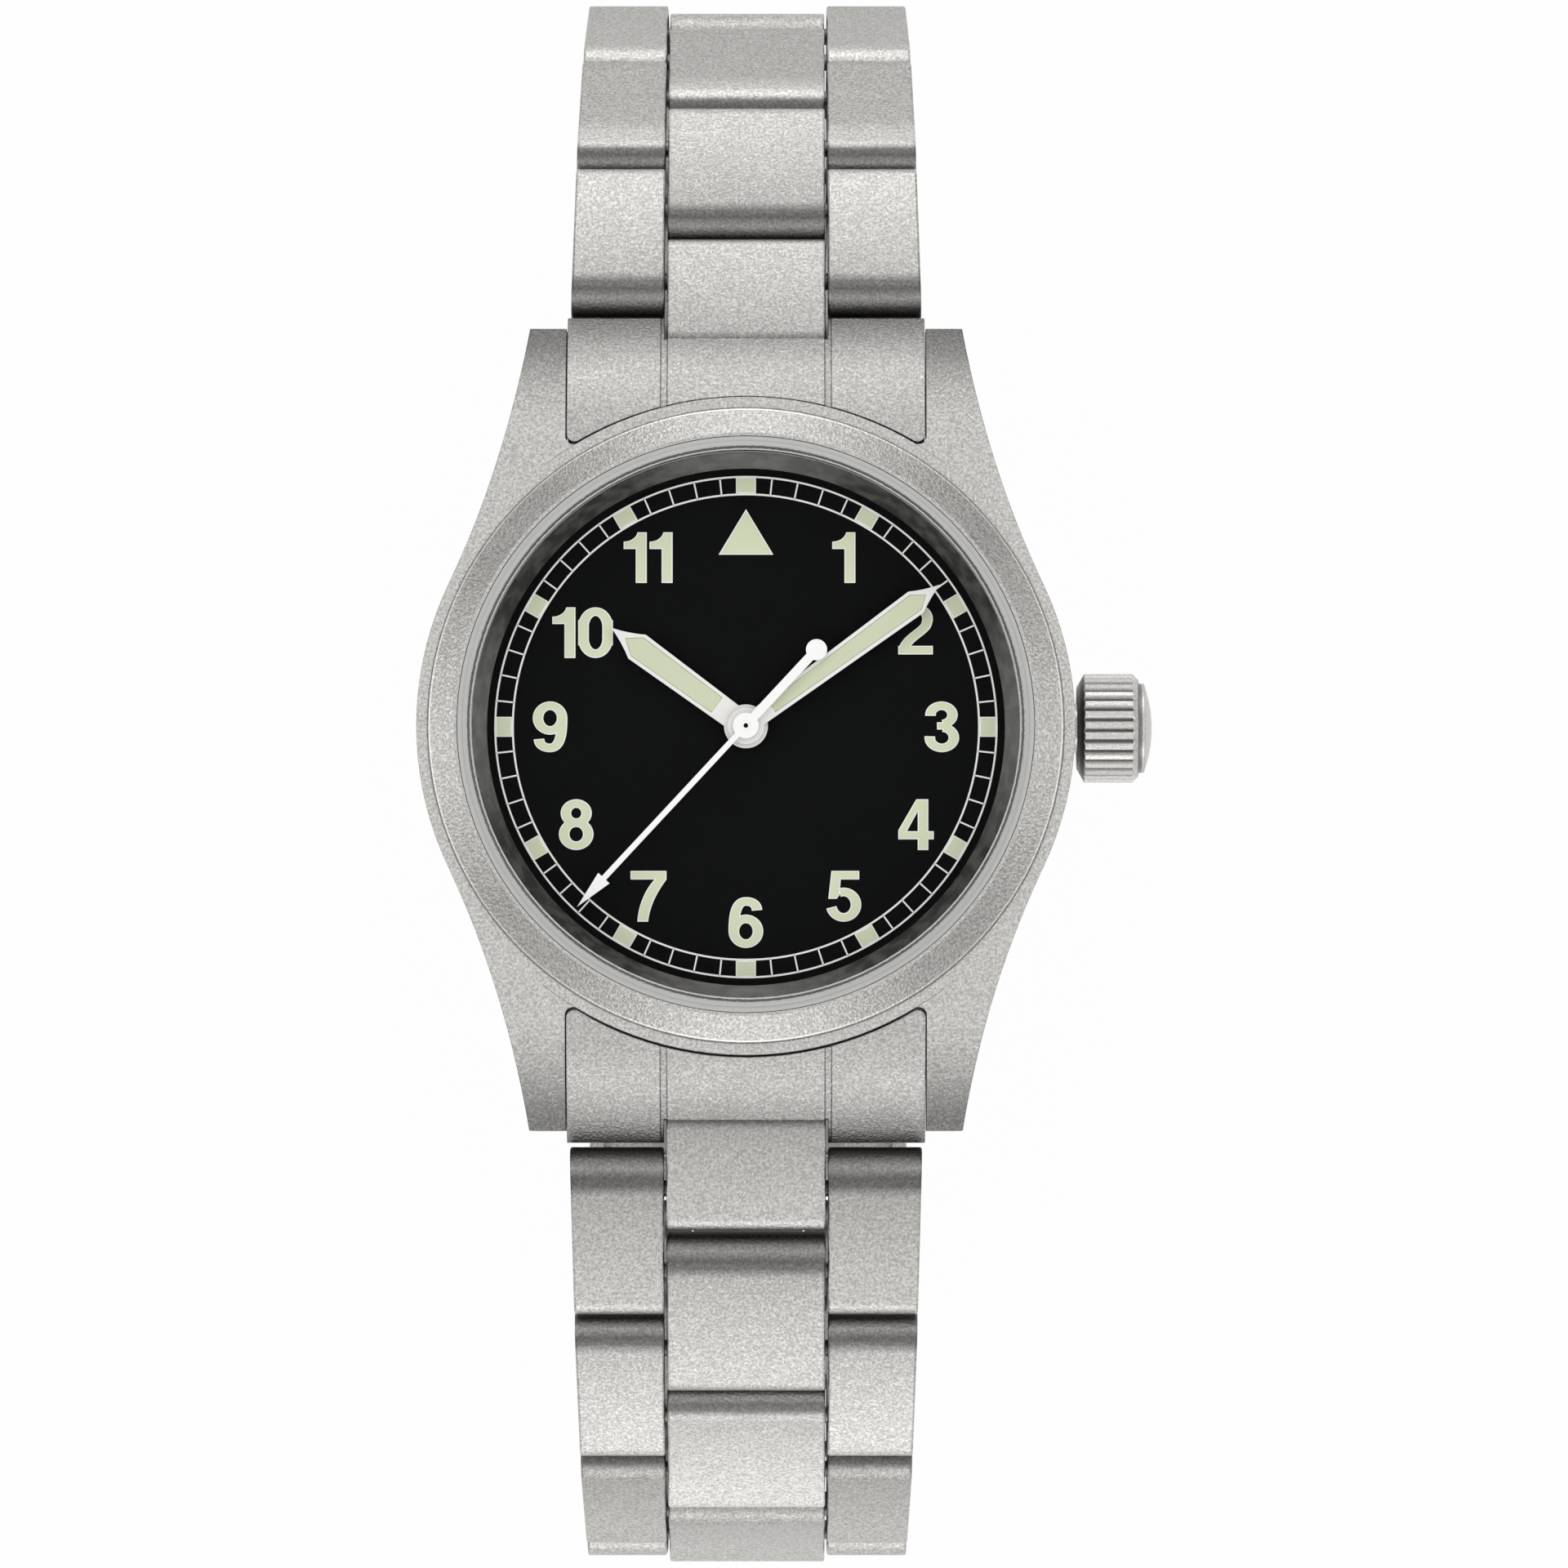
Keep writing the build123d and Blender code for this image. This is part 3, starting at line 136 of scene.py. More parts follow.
class Graph:
    """A node tree that is built from code."""

    # A Mix node has sockets of the same name for each kind of value; these are its colours.
    mix_first, mix_second, mix_result = 6, 7, 2
    bevel_samples = 6
    edge_stops: Stops = ((0.03, 0.0), (0.16, 1.0))

    def __init__(self, tree: bpy.types.NodeTree) -> None:
        """Empty the tree."""
        self.tree = tree
        tree.nodes.clear()

    def node(self, kind: str, settings: Mapping[str, object] | None = None,
             sockets: Mapping[str | int, object] | None = None,
             output: str | int = 0) -> Signal:
        """Add a node.

        Args:
            kind: the node's type.
            settings: what is set on the node itself; "stops" are the stops of a ramp.
            sockets: values or links of its input sockets; None leaves a socket as it is.
            output: the output socket that is wanted.

        Returns:
            That output as a signal.
        """
        made = self.tree.nodes.new(kind)
        for key, value in (settings or {}).items():
            if key == "stops":
                self._set_stops(made.color_ramp, value)
            else:
                setattr(made, key, value)
        for key, value in (sockets or {}).items():
            if isinstance(value, Signal):
                self.tree.links.new(value.socket, made.inputs[key])
            elif value is not None:
                made.inputs[key].default_value = value
        return Signal(self, made.outputs[output] if made.outputs else None)

    @staticmethod
    def _set_stops(ramp: bpy.types.ColorRamp, stops: Stops) -> None:
        """Set the places and grey levels of a new colour ramp.

        Args:
            ramp: the ramp, with the two elements that it starts with.
            stops: its stops in order, two or more.
        """
        while len(ramp.elements) < len(stops):
            ramp.elements.new(1.0)
        for element, (place, level) in zip(ramp.elements, stops):
            element.position = place
            element.color = (level, level, level, 1.0)

    def here(self) -> Signal:
        """The point being shaded, in the piece's own metres."""
        return self.node("ShaderNodeTexCoord", output="Object")

    def part(self, vector: Signal, axis: str) -> Signal:
        """One coordinate of a vector."""
        return self.node("ShaderNodeSeparateXYZ", sockets={0: vector}, output=axis)

    def generated(self, axis: str) -> Signal:
        """One coordinate from 0 to 1 along a piece's box, or that of a world's direction."""
        return self.part(self.node("ShaderNodeTexCoord", output="Generated"), axis)

    def mapped(self, vector: Signal, scale: Place, location: Place = (0.0, 0.0, 0.0)) -> Signal:
        """A vector that is scaled and moved."""
        return self.node("ShaderNodeMapping", sockets={
            "Vector": vector, "Scale": scale, "Location": location})

    def noise(self, vector: Signal, size_mm: float, detail: float = 2.0,
              rough: float = 0.5) -> Signal:
        """Noise whose features have about that size."""
        return self.node("ShaderNodeTexNoise", sockets={
            "Vector": vector, "Scale": 1.0 / (size_mm * MM), "Detail": detail,
            "Roughness": rough})

    def stepped(self, value: Signal, stops: Stops) -> Signal:
        """A value led through the stops of a grey ramp."""
        return self.node("ShaderNodeValToRGB", {"stops": stops}, {0: value})

    def weighed(self, first: Signal, second: Signal, share: float) -> Signal:
        """Two values in one, the first with that share and the second with the rest."""
        return first * share + second * (1 - share)

    def blend(self, share: Value, first: Tint, second: Tint) -> Signal:
        """A colour between two others.

        Args:
            share: the share of the second colour.
            first: the colour at a share of 0.
            second: the colour at a share of 1.

        Returns:
            The mixed colour.
        """
        ends = [value if isinstance(value, Signal) else (*value, 1.0) for value in (first, second)]
        return self.node("ShaderNodeMix", {"data_type": "RGBA"},
                         {"Factor": share, self.mix_first: ends[0], self.mix_second: ends[1]},
                         output=self.mix_result)

    def toned(self, share: Value, tone: Colour, shades: Point) -> Signal:
        """A tone between two shades of itself, a darker and a lighter one."""
        return self.blend(share, *(tinted(tone, shade) for shade in shades))

    def reach(self, across: Place = (1.0, 1.0, 0.0), centre: Place = (0.0, 0.0, 0.0)) -> Signal:
        """Distance to an axis, in metres. If nothing is given, it is the hands' axis.

        Args:
            across: one for the directions across the axis, and zero for the one along it.
            centre: a point of the axis, in millimetres.

        Returns:
            The distance of the point being shaded.
        """
        moved = self.mapped(self.here(), across, tuple(-place * MM for place in centre))
        return self.node("ShaderNodeVectorMath", {"operation": "LENGTH"}, {0: moved},
                         output="Value")

    @staticmethod
    def band(reach: Signal, start: float, span: float) -> Signal:
        """Place in a ring: 0 where it starts and 1 at the end of its span."""
        return (reach - start * MM) / (span * MM)

    def frayed(self, place: Signal, grain_mm: float, share: float) -> Signal:
        """A place that a grain moves to and fro, so that what follows it has no even edges."""
        grain = self.noise(self.here(), grain_mm, detail=1.0)
        return place + (grain - 0.5) * share

    def bump(self, height: Signal, depth_mm: float, strength: float,
             normal: Signal | None = None) -> Signal:
        """A normal that follows a height."""
        return self.node("ShaderNodeBump", sockets={
            "Height": height, "Distance": depth_mm * MM, "Strength": strength,
            "Normal": normal})

    def soft_edges(self, radius_mm: float) -> Signal:
        """A normal that turns softly over sharp edges."""
        return self.node("ShaderNodeBevel", {"samples": self.bevel_samples},
                         {"Radius": radius_mm * MM})

    def edge_share(self, soft: Signal) -> Signal:
        """Where the sharp edges are.

        Args:
            soft: a normal that turns softly over them.

        Returns:
            One on the edges and zero away from them.
        """
        plain = self.node("ShaderNodeNewGeometry", output="Normal")
        facing = self.node("ShaderNodeVectorMath", {"operation": "DOT_PRODUCT"},
                           {0: soft, 1: plain}, output="Value")
        return self.stepped(1.0 - facing, self.edge_stops)

    def surface(self, **sockets: object) -> Signal:
        """A principled surface; a name's underscores stand for spaces."""
        named = {key.replace("_", " "): value for key, value in sockets.items()}
        return self.node("ShaderNodeBsdfPrincipled", sockets=named)

    def between(self, share: Signal, first: Signal, second: Signal) -> Signal:
        """A shader between two others."""
        return self.node("ShaderNodeMixShader", sockets={0: share, 1: first, 2: second})

    def show(self, shader: Signal, kind: str = "ShaderNodeOutputMaterial") -> None:
        """Lead a shader to the tree's output."""
        self.node(kind, sockets={"Surface": shader})


@dataclass(frozen=True)
class Finish:
    """How one kind of surface looks. Kinds of finish fill in the method dress."""

    name: str

    @functools.cache
    def material(self) -> bpy.types.Material:
        """The finish as a material, made at the first call and kept.

        Returns:
            The new material.
        """
        made = bpy.data.materials.new(self.name)
        made.use_nodes = True
        graph = Graph(made.node_tree)
        graph.show(self.dress(graph))
        return made

    def dress(self, graph: Graph) -> Signal:
        """The surface shader of the finish."""
        raise NotImplementedError


@dataclass(frozen=True)
class BlastedSteel(Finish):
    """Steel that was blasted with fine beads: matt, with a sparkling grain."""

    tone: Colour = (0.580, 0.567, 0.547)
    roughness: float = 0.40
    grain: float = 0.14
    grain_rough: float = 0.6
    grain_stops: Stops = ((0.36, 0.0), (0.64, 1.0))
    grain_part: float = 0.56
    speck_size: float = 0.7
    speck_stops: Stops = ((0.56, 0.0), (0.70, 1.0))
    speck_part: float = 0.34
    speck_shine: float = 0.05
    cloud: float = 2.6
    cloud_part: float = 0.10
    cloud_rough: float = 0.12
    contrast: float = 0.36
    depth: float = 0.020
    strength: float = 0.6
    edge: float = 0.08
    edge_share: float = 0.62
    # The edge tone is painted shade along sharp edges and in the gaps between pieces; a kind that
    # sets it bright paints a highlight there instead.
    edge_tone: Colour = (0.012, 0.012, 0.011)
    # The shaded tone is the dark end of the painted shade that kinds of this finish lay on.
    shaded: Colour = (0.012, 0.012, 0.011)

    def kept(self, graph: Graph) -> Signal | None:
        """Share of the tone that painted shade leaves at each place; kinds of this finish fill it
        in.
        """
        return None

    def edged(self, graph: Graph, soft: Signal) -> Signal:
        """Share of the painted edge shading, from the softened normal."""
        return graph.edge_share(soft)

    def dress(self, graph: Graph) -> Signal:
        """Grain, clouds of a slightly other tone, painted shading on the edges, and painted shade
        from kinds of this finish.

        Args:
            graph: the material's nodes.

        Returns:
            The surface shader.
        """
        here = graph.here()
        grain = graph.stepped(graph.noise(here, self.grain, rough=self.grain_rough),
                              self.grain_stops)
        speck = graph.stepped(graph.noise(here, self.grain * self.speck_size, detail=1.0),
                              self.speck_stops)
        cloud = graph.noise(here, self.cloud)
        shade = grain * self.grain_part + speck * self.speck_part + cloud * self.cloud_part
        colour = graph.toned(shade, self.tone, (1 - self.contrast, 1 + self.contrast))
        soft = graph.soft_edges(self.edge)
        # Painted shading along the sharp edges.
        colour = graph.blend(self.edged(graph, soft) * self.edge_share, colour, self.edge_tone)
        # Painted shade from the kind of this finish, towards the shaded tone.
        kept = self.kept(graph)
        if kept:
            colour = graph.blend(kept, self.shaded, colour)
        roughness = self.roughness + (cloud - 0.5) * self.cloud_rough - speck * self.speck_shine
        return graph.surface(Base_Color=colour, Metallic=1.0, Roughness=roughness,
                             Normal=graph.bump(grain, self.depth, self.strength, soft))


@dataclass(frozen=True)
class LugSteel(BlastedSteel):
    """Blasted steel of the case and the end links, with painted shade towards the tips of the lugs
    and in a ring at the bezel's foot.
    """

    # Painted shade towards the lug tips: from its start to its end along Y, down to its share of
    # the tone.
    dull_start: float = 14.6
    dull_end: float = 19.8
    dull_share: float = 0.31
    clear_reach: float = 17.0
    clear_side: float = 9.0
    # Ring of painted shade on the case where it meets the bezel.
    seam_start: float = 15.80
    seam_span: float = 0.40
    seam: Stops = ((0.18, 1.0), (0.25, 0.40), (0.36, 0.40), (0.48, 1.0))

    def kept(self, graph: Graph) -> Signal:
        """Full tone over the round of the case, with painted shade towards both ends and in a ring
        at the bezel's foot.

        Args:
            graph: the material's nodes.

        Returns:
            The share of the tone that is left.
        """
        here, reach = graph.here(), graph.reach()
        # Painted shade towards both ends of the case.
        left = graph.node("ShaderNodeMapRange", {"interpolation_type": "SMOOTHSTEP"}, {
            "Value": graph.part(here, "Y").absolute(), "From Min": self.dull_start * MM,
            "From Max": self.dull_end * MM, "To Min": 1.0, "To Max": self.dull_share})
        between = graph.part(here, "X").absolute() < self.clear_side * MM
        # Painted shade in the ring at the bezel's foot.
        seam = graph.stepped(graph.band(reach, self.seam_start, self.seam_span), self.seam)
        return left.largest(between * (reach < self.clear_reach * MM)) * seam


@dataclass(frozen=True)
class BezelSteel(BlastedSteel):
    """Blasted steel of the bezel, with a fine ring of painted shade round the crystal's seat and
    painted highlights on its edges and round its foot.
    """

    # Fine ring of painted shade round the crystal's seat.
    seam_start: float = 14.1
    seam_span: float = 0.5
    seam: Stops = ((0.50, 0.20), (0.57, 1.0))
    seam_grain: float = 0.10
    seam_fray: float = 0.16
    # Painted highlight in a line round the bezel's foot.
    foot_start: float = 15.70
    foot_span: float = 0.20
    foot: Stops = ((0.45, 0.0), (0.60, 0.8))

    def edged(self, graph: Graph, soft: Signal) -> Signal:
        """Painted highlights on the edges and in a line round the foot."""
        place = graph.band(graph.reach(), self.foot_start, self.foot_span)
        return graph.edge_share(soft).largest(graph.stepped(place, self.foot))

    def kept(self, graph: Graph) -> Signal:
        """Full tone but in the ring of painted shade, whose edges the grain breaks up."""
        place = graph.band(graph.reach(), self.seam_start, self.seam_span)
        return graph.stepped(graph.frayed(place, self.seam_grain, self.seam_fray), self.seam)


@dataclass(frozen=True)
class LinkSteel(BlastedSteel):
    """Blasted steel of a bracelet link, with painted shade on the rounded nose at its case end."""

    edge: float = 0.10
    edge_share: float = 0.92
    case_end_high: bool = False
    # Painted shade along the link: dark at the nose, a lighter ridge, a dark groove, then rising to
    # full tone at the far end.
    nose: Stops = ((0.0, 0.10), (0.06, 0.20), (0.13, 0.52), (0.19, 0.22), (0.24, 0.26),
                   (0.30, 0.72), (0.50, 0.84), (0.85, 1.0))

    def kept(self, graph: Graph) -> Signal:
        """Share of the tone left by painted shade, growing from the nose to the far end along the
        link's own box.
        """
        along = graph.generated("Y")
        return graph.stepped(1.0 - along if self.case_end_high else along, self.nose)


@dataclass(frozen=True)
class CrownSteel(BlastedSteel):
    """Steel of the crown, with painted shade at the foot of its flutes."""

    axis_level: float = 3.4
    flute_start: float = 2.2
    flute_span: float = 0.6
    flute: Stops = ((0.08, 1.0), (0.20, 0.45), (0.62, 0.13), (0.72, 0.45), (0.88, 1.0))
    front: float = 19.40
    front_depth: float = 1.0
    rim: Stops = ((0.22, 0.95), (0.27, 0.34), (0.45, 0.34), (0.50, 1.0), (0.58, 0.90))

    def kept(self, graph: Graph) -> Signal:
        """Painted shade by the distance to the crown's axis, and a dark ring by the depth of the
        front.

        Args:
            graph: the material's nodes.

        Returns:
            The share of the tone that is left.
        """
        depth = graph.part(graph.here(), "X") - self.front * MM
        front = depth > 0.0
        reach = graph.reach((0.0, 1.0, 1.0), (0.0, 0.0, self.axis_level))
        # Painted shade at the foot of the flutes.
        ridge = graph.stepped(graph.band(reach, self.flute_start, self.flute_span), self.flute)
        # A dark ring across the front, by its depth.
        rim = graph.stepped(depth / (self.front_depth * MM), self.rim)
        return ridge * (1.0 - front) + rim * front


@dataclass(frozen=True)
class BrushedMetal(Finish):
    """Metal with fine parallel lines along one axis."""

    tone: Colour = (0.62, 0.61, 0.59)
    shades: Point = (0.86, 1.12)
    roughness: float = 0.26
    line_rough: float = 0.18
    line: float = 0.05
    line_part: float = 0.7
    along: Place = (0.02, 1.0, 1.0)
    cloud: float = 1.8
    depth: float = 0.004
    strength: float = 0.5
    edge: float = 0.05

    def dress(self, graph: Graph) -> Signal:
        """Lines stretched along the brushing, over faint clouds.

        Args:
            graph: the material's nodes.

        Returns:
            The surface shader.
        """
        here = graph.here()
        lines = graph.noise(graph.mapped(here, self.along), self.line, detail=4.0, rough=0.65)
        shade = graph.weighed(lines, graph.noise(here, self.cloud), self.line_part)
        normal = graph.bump(lines, self.depth, self.strength, graph.soft_edges(self.edge))
        return graph.surface(Base_Color=graph.toned(shade, self.tone, self.shades), Metallic=1.0,
                             Roughness=self.roughness + (lines - 0.5) * self.line_rough,
                             Normal=normal)


@dataclass(frozen=True)
class TurnedMetal(Finish):
    """Metal that was turned on a lathe, with rings round an axis along Z."""

    tone: Colour = (0.60, 0.59, 0.57)
    shades: Point = (0.82, 1.15)
    roughness: float = 0.25
    cloud_rough: float = 0.12
    ring: float = 0.06
    ring_part: float = 0.75
    centre: Place = (0.0, 0.0, 0.0)
    cloud: float = 1.5
    depth: float = 0.004
    strength: float = 0.5
    edge: float = 0.04

    def dress(self, graph: Graph) -> Signal:
        """Rings from noise that is read along the distance to the axis.

        Args:
            graph: the material's nodes.

        Returns:
            The surface shader.
        """
        rings = graph.node("ShaderNodeTexNoise", {"noise_dimensions": "1D"}, {
            "W": graph.reach(centre=self.centre), "Scale": 1.0 / (self.ring * MM), "Detail": 3.0})
        cloud = graph.noise(graph.here(), self.cloud)
        shade = graph.weighed(rings, cloud, self.ring_part)
        normal = graph.bump(rings, self.depth, self.strength, graph.soft_edges(self.edge))
        return graph.surface(Base_Color=graph.toned(shade, self.tone, self.shades), Metallic=1.0,
                             Roughness=self.roughness + (cloud - 0.5) * self.cloud_rough,
                             Normal=normal)


@dataclass(frozen=True)
class Coat(Finish):
    """Paint, print, lacquer, plastic or rubber: a coloured surface with a fine tooth."""

    tone: Colour = (0.8, 0.8, 0.8)
    roughness: float = 0.5
    cloud_rough: float = 0.1
    grain: float = 0.06
    grain_part: float = 0.7
    cloud: float = 1.4
    contrast: float = 0.05
    depth: float = 0.004
    strength: float = 0.4
    gloss: float = 0.5

    def dress(self, graph: Graph) -> Signal:
        """Fine grain over soft clouds.

        Args:
            graph: the material's nodes.

        Returns:
            The surface shader.
        """
        here = graph.here()
        grain = graph.noise(here, self.grain, detail=3.0, rough=0.65)
        cloud = graph.noise(here, self.cloud)
        shade = graph.weighed(grain, cloud, self.grain_part)
        colour = graph.toned(shade, self.tone, (1 - self.contrast, 1 + self.contrast))
        return graph.surface(Base_Color=colour, Specular_IOR_Level=self.gloss,
                             Roughness=self.roughness + (cloud - 0.5) * self.cloud_rough,
                             Normal=graph.bump(grain, self.depth, self.strength))


@dataclass(frozen=True)
class FlangePaint(Finish):
    """Dark grey satin paint of the sloped ring, with soft blotches round it and painted reflections
    of the four lamps.
    """

    dark: Colour = (0.022, 0.022, 0.021)
    light: Colour = (0.230, 0.226, 0.216)
    blotch: float = 0.85
    blotch_stops: Stops = ((0.42, 0.0), (0.62, 1.0))
    blotch_part: float = 0.24
    lamp_stops: Stops = ((0.90, 0.0), (1.0, 1.0))
    lamp_part: float = 0.60
    grain: float = 0.09
    grain_part: float = 0.12
    roughness: float = 0.50
    grain_rough: float = 0.1
    gloss: float = 0.2
    depth: float = 0.006
    strength: float = 0.4

    def dress(self, graph: Graph) -> Signal:
        """Blotches a millimetre wide, and painted reflections that make it lighter where the four
        lamps stand.

        Args:
            graph: the material's nodes.

        Returns:
            The surface shader.
        """
        here = graph.here()
        blotch = graph.stepped(graph.noise(here, self.blotch), self.blotch_stops)
        across = graph.part(here, "X").absolute().largest(graph.part(here, "Y").absolute())
        # Painted reflection of the lamps, lighter towards the four sides where they stand.
        painted_lamp_reflection = graph.stepped(across / graph.reach(), self.lamp_stops)
        grain = graph.noise(here, self.grain)
        shade = blotch * self.blotch_part + painted_lamp_reflection * self.lamp_part + grain * self.grain_part
        return graph.surface(Base_Color=graph.blend(shade, self.dark, self.light),
                             Roughness=self.roughness + grain * self.grain_rough,
                             Specular_IOR_Level=self.gloss,
                             Normal=graph.bump(grain, self.depth, self.strength))


@dataclass(frozen=True)
class ClearCrystal(Finish):
    """Polished crystal: clear over the dial, with painted reflections in fine bright and dark rings
    at its rim.
    """

    start: float = 13.6
    span: float = 0.6
    cover: Stops = ((0.0, 0.001), (0.14, 0.001), (0.19, 0.75), (0.34, 0.80),
                    (0.38, 0.55), (0.50, 0.80), (0.56, 0.95))
    level: Stops = ((0.14, 0.10), (0.20, 0.60), (0.28, 0.60), (0.33, 0.03),
                    (0.40, 0.16), (0.48, 0.06), (0.56, 0.47), (0.66, 0.50),
                    (0.70, 0.52))
    dark: Colour = (0.02, 0.02, 0.02)
    light: Colour = (0.98, 0.98, 0.955)
    grain: float = 0.14
    fray: float = 0.12
    roughness: float = 0.08
    refraction: float = 1.77
    gloss: float = 0.2

    def dress(self, graph: Graph) -> Signal:
        """Cover and painted reflection rings that follow the distance to the axis, broken up by a
        grain.

        Args:
            graph: the material's nodes.

        Returns:
            The surface shader.
        """
        place = graph.band(graph.reach(), self.start, self.span)
        # Painted reflections in bright and dark rings on the rim.
        ring = graph.stepped(graph.frayed(place, self.grain, self.fray), self.level)
        return graph.surface(Base_Color=graph.blend(ring, self.dark, self.light),
                             Alpha=graph.stepped(place, self.cover), Roughness=self.roughness,
                             IOR=self.refraction, Specular_IOR_Level=self.gloss)


@dataclass(frozen=True)
class CopperWinding(Finish):
    """Enamelled copper wire, wound side by side along X."""

    tone: Colour = (0.60, 0.25, 0.10)
    shades: Point = (0.45, 1.15)
    wire: float = 0.045
    wave_width: float = 0.314
    distortion: float = 0.4
    metallic: float = 0.85
    roughness: float = 0.3
    band_rough: float = 0.1
    depth: float = 0.01
    strength: float = 0.6

    def dress(self, graph: Graph) -> Signal:
        """Bands one wire wide; wave_width is the width of the texture's own band at scale 1.

        Args:
            graph: the material's nodes.

        Returns:
            The surface shader.
        """
        # Each band runs from dark to light: painted shade between neighbouring wires.
        bands = graph.node("ShaderNodeTexWave", {"bands_direction": "X"}, {
            "Vector": graph.here(), "Scale": self.wave_width / (self.wire * MM),
            "Distortion": self.distortion})
        return graph.surface(Base_Color=graph.toned(bands, self.tone, self.shades),
                             Metallic=self.metallic,
                             Roughness=self.roughness + bands * self.band_rough,
                             Normal=graph.bump(bands, self.depth, self.strength))


@dataclass(frozen=True)
class CircuitLacquer(Finish):
    """Green lacquered board with paler tracks."""

    board: Colour = (0.010, 0.085, 0.035)
    track: Colour = (0.035, 0.20, 0.075)
    cell: float = 0.9
    track_stops: Stops = ((0.40, 0.0), (0.44, 1.0))
    track_part: float = 0.85
    grain: float = 0.08
    roughness: float = 0.28
    grain_rough: float = 0.08
    depth: float = 0.02
    strength: float = 0.5

    def dress(self, graph: Graph) -> Signal:
        """Straight tracks between square fields.

        Args:
            graph: the material's nodes.

        Returns:
            The surface shader.
        """
        here = graph.here()
        cells = graph.node("ShaderNodeTexVoronoi", {"distance": "CHEBYCHEV"}, {
            "Vector": here, "Scale": 1.0 / (self.cell * MM)})
        tracks = graph.stepped(cells, self.track_stops)
        grain = graph.noise(here, self.grain)
        shade = graph.weighed(tracks, grain, self.track_part)
        return graph.surface(Base_Color=graph.blend(shade, self.board, self.track),
                             Roughness=self.roughness + grain * self.grain_rough,
                             Normal=graph.bump(tracks, self.depth, self.strength))


@dataclass(frozen=True)
class FloorPaper(Finish):
    """White paper that takes a little shadow, and hides nothing from below."""

    paper: Colour = (0.8, 0.8, 0.8)
    white: Colour = (1.0, 1.0, 1.0)
    white_share: float = 0.96

    def dress(self, graph: Graph) -> Signal:
        """Nearly even white where it is seen, and paper for the light that falls on it.

        Args:
            graph: the material's nodes.

        Returns:
            The surface shader.
        """
        rays = [graph.node("ShaderNodeLightPath", output=f"Is {name} Ray")
                for name in ("Camera", "Glossy", "Transmission")]
        seen = rays[0].largest(rays[1]).largest(rays[2])
        paper = graph.node("ShaderNodeBsdfDiffuse", sockets={"Color": (*self.paper, 1.0)})
        glow = graph.node("ShaderNodeEmission", sockets={"Color": (*self.white, 1.0)})
        top = graph.between(seen * self.white_share, paper, glow)
        under = graph.node("ShaderNodeNewGeometry", output="Backfacing")
        return graph.between(under, top, graph.node("ShaderNodeBsdfTransparent"))


class Metal(Enum):
    """Finishes of the metal pieces."""

    CASE = LugSteel("steel_case", edge=0.06)
    # The bezel's near-white edge tone is a painted highlight along its edges.
    BEZEL = BezelSteel("steel_bezel", tone=(0.550, 0.538, 0.519), contrast=0.38, edge=0.06,
                       edge_share=0.85, edge_tone=(0.95, 0.93, 0.90))
    # The end links have a darker tone, and their painted shade towards the tips starts further out
    # and keeps half the tone.
    END_LINK = LugSteel("steel_end_links", tone=(0.500, 0.489, 0.472), dull_start=17.2,
                        dull_end=21.0, dull_share=0.50)
    UPPER_LINK = LinkSteel("steel_links_12")
    # Some rows take copies of the link steel painted lighter; the far rows at twelve also have a
    # painted highlight band behind the nose.
    FAR_LINK = LinkSteel("steel_far_rows_12_painted_lighter", tone=(0.760, 0.744, 0.718), nose=(
        (0.0, 0.10), (0.06, 0.18), (0.13, 0.42), (0.19, 0.18), (0.24, 0.24), (0.29, 0.86),
        (0.38, 0.84), (0.48, 0.64), (1.0, 0.61)))
    LOWER_LINK = LinkSteel("steel_links_6", case_end_high=True)
    LOWER_SIDE = LinkSteel("steel_side_rows_6_painted_lighter", tone=(0.640, 0.626, 0.604), case_end_high=True)
    TURNED_LINK = LinkSteel("steel_far_rows_6_painted_lighter", tone=(0.800, 0.784, 0.758),
                            case_end_high=True)
    CLASP = BlastedSteel("steel_clasp")
    CROWN = CrownSteel("steel_crown", tone=(0.620, 0.606, 0.585), roughness=0.33, grain=0.10,
                       contrast=0.22, edge=0.05, edge_share=0.45, depth=0.010)
    BACK = TurnedMetal("steel_back", tone=(0.60, 0.59, 0.575), ring=0.05)
    PIN = BrushedMetal("steel_pins", line=0.04)
    BLADE = BrushedMetal("steel_blades", along=(1.0, 0.02, 0.02), roughness=0.3)
    PLATE = BrushedMetal("nickel_plate", tone=(0.58, 0.56, 0.50), line=0.07,
                         along=(1.0, 0.03, 1.0), roughness=0.3)
    CELL = TurnedMetal("cell_turned", tone=(0.70, 0.70, 0.70), centre=(-4.4, -5.3, 0.0))
    WHEEL = TurnedMetal("wheel_turned", tone=(0.66, 0.47, 0.18), ring=0.04, roughness=0.22)
    STATOR = BrushedMetal("stator_alloy", tone=(0.50, 0.49, 0.46))


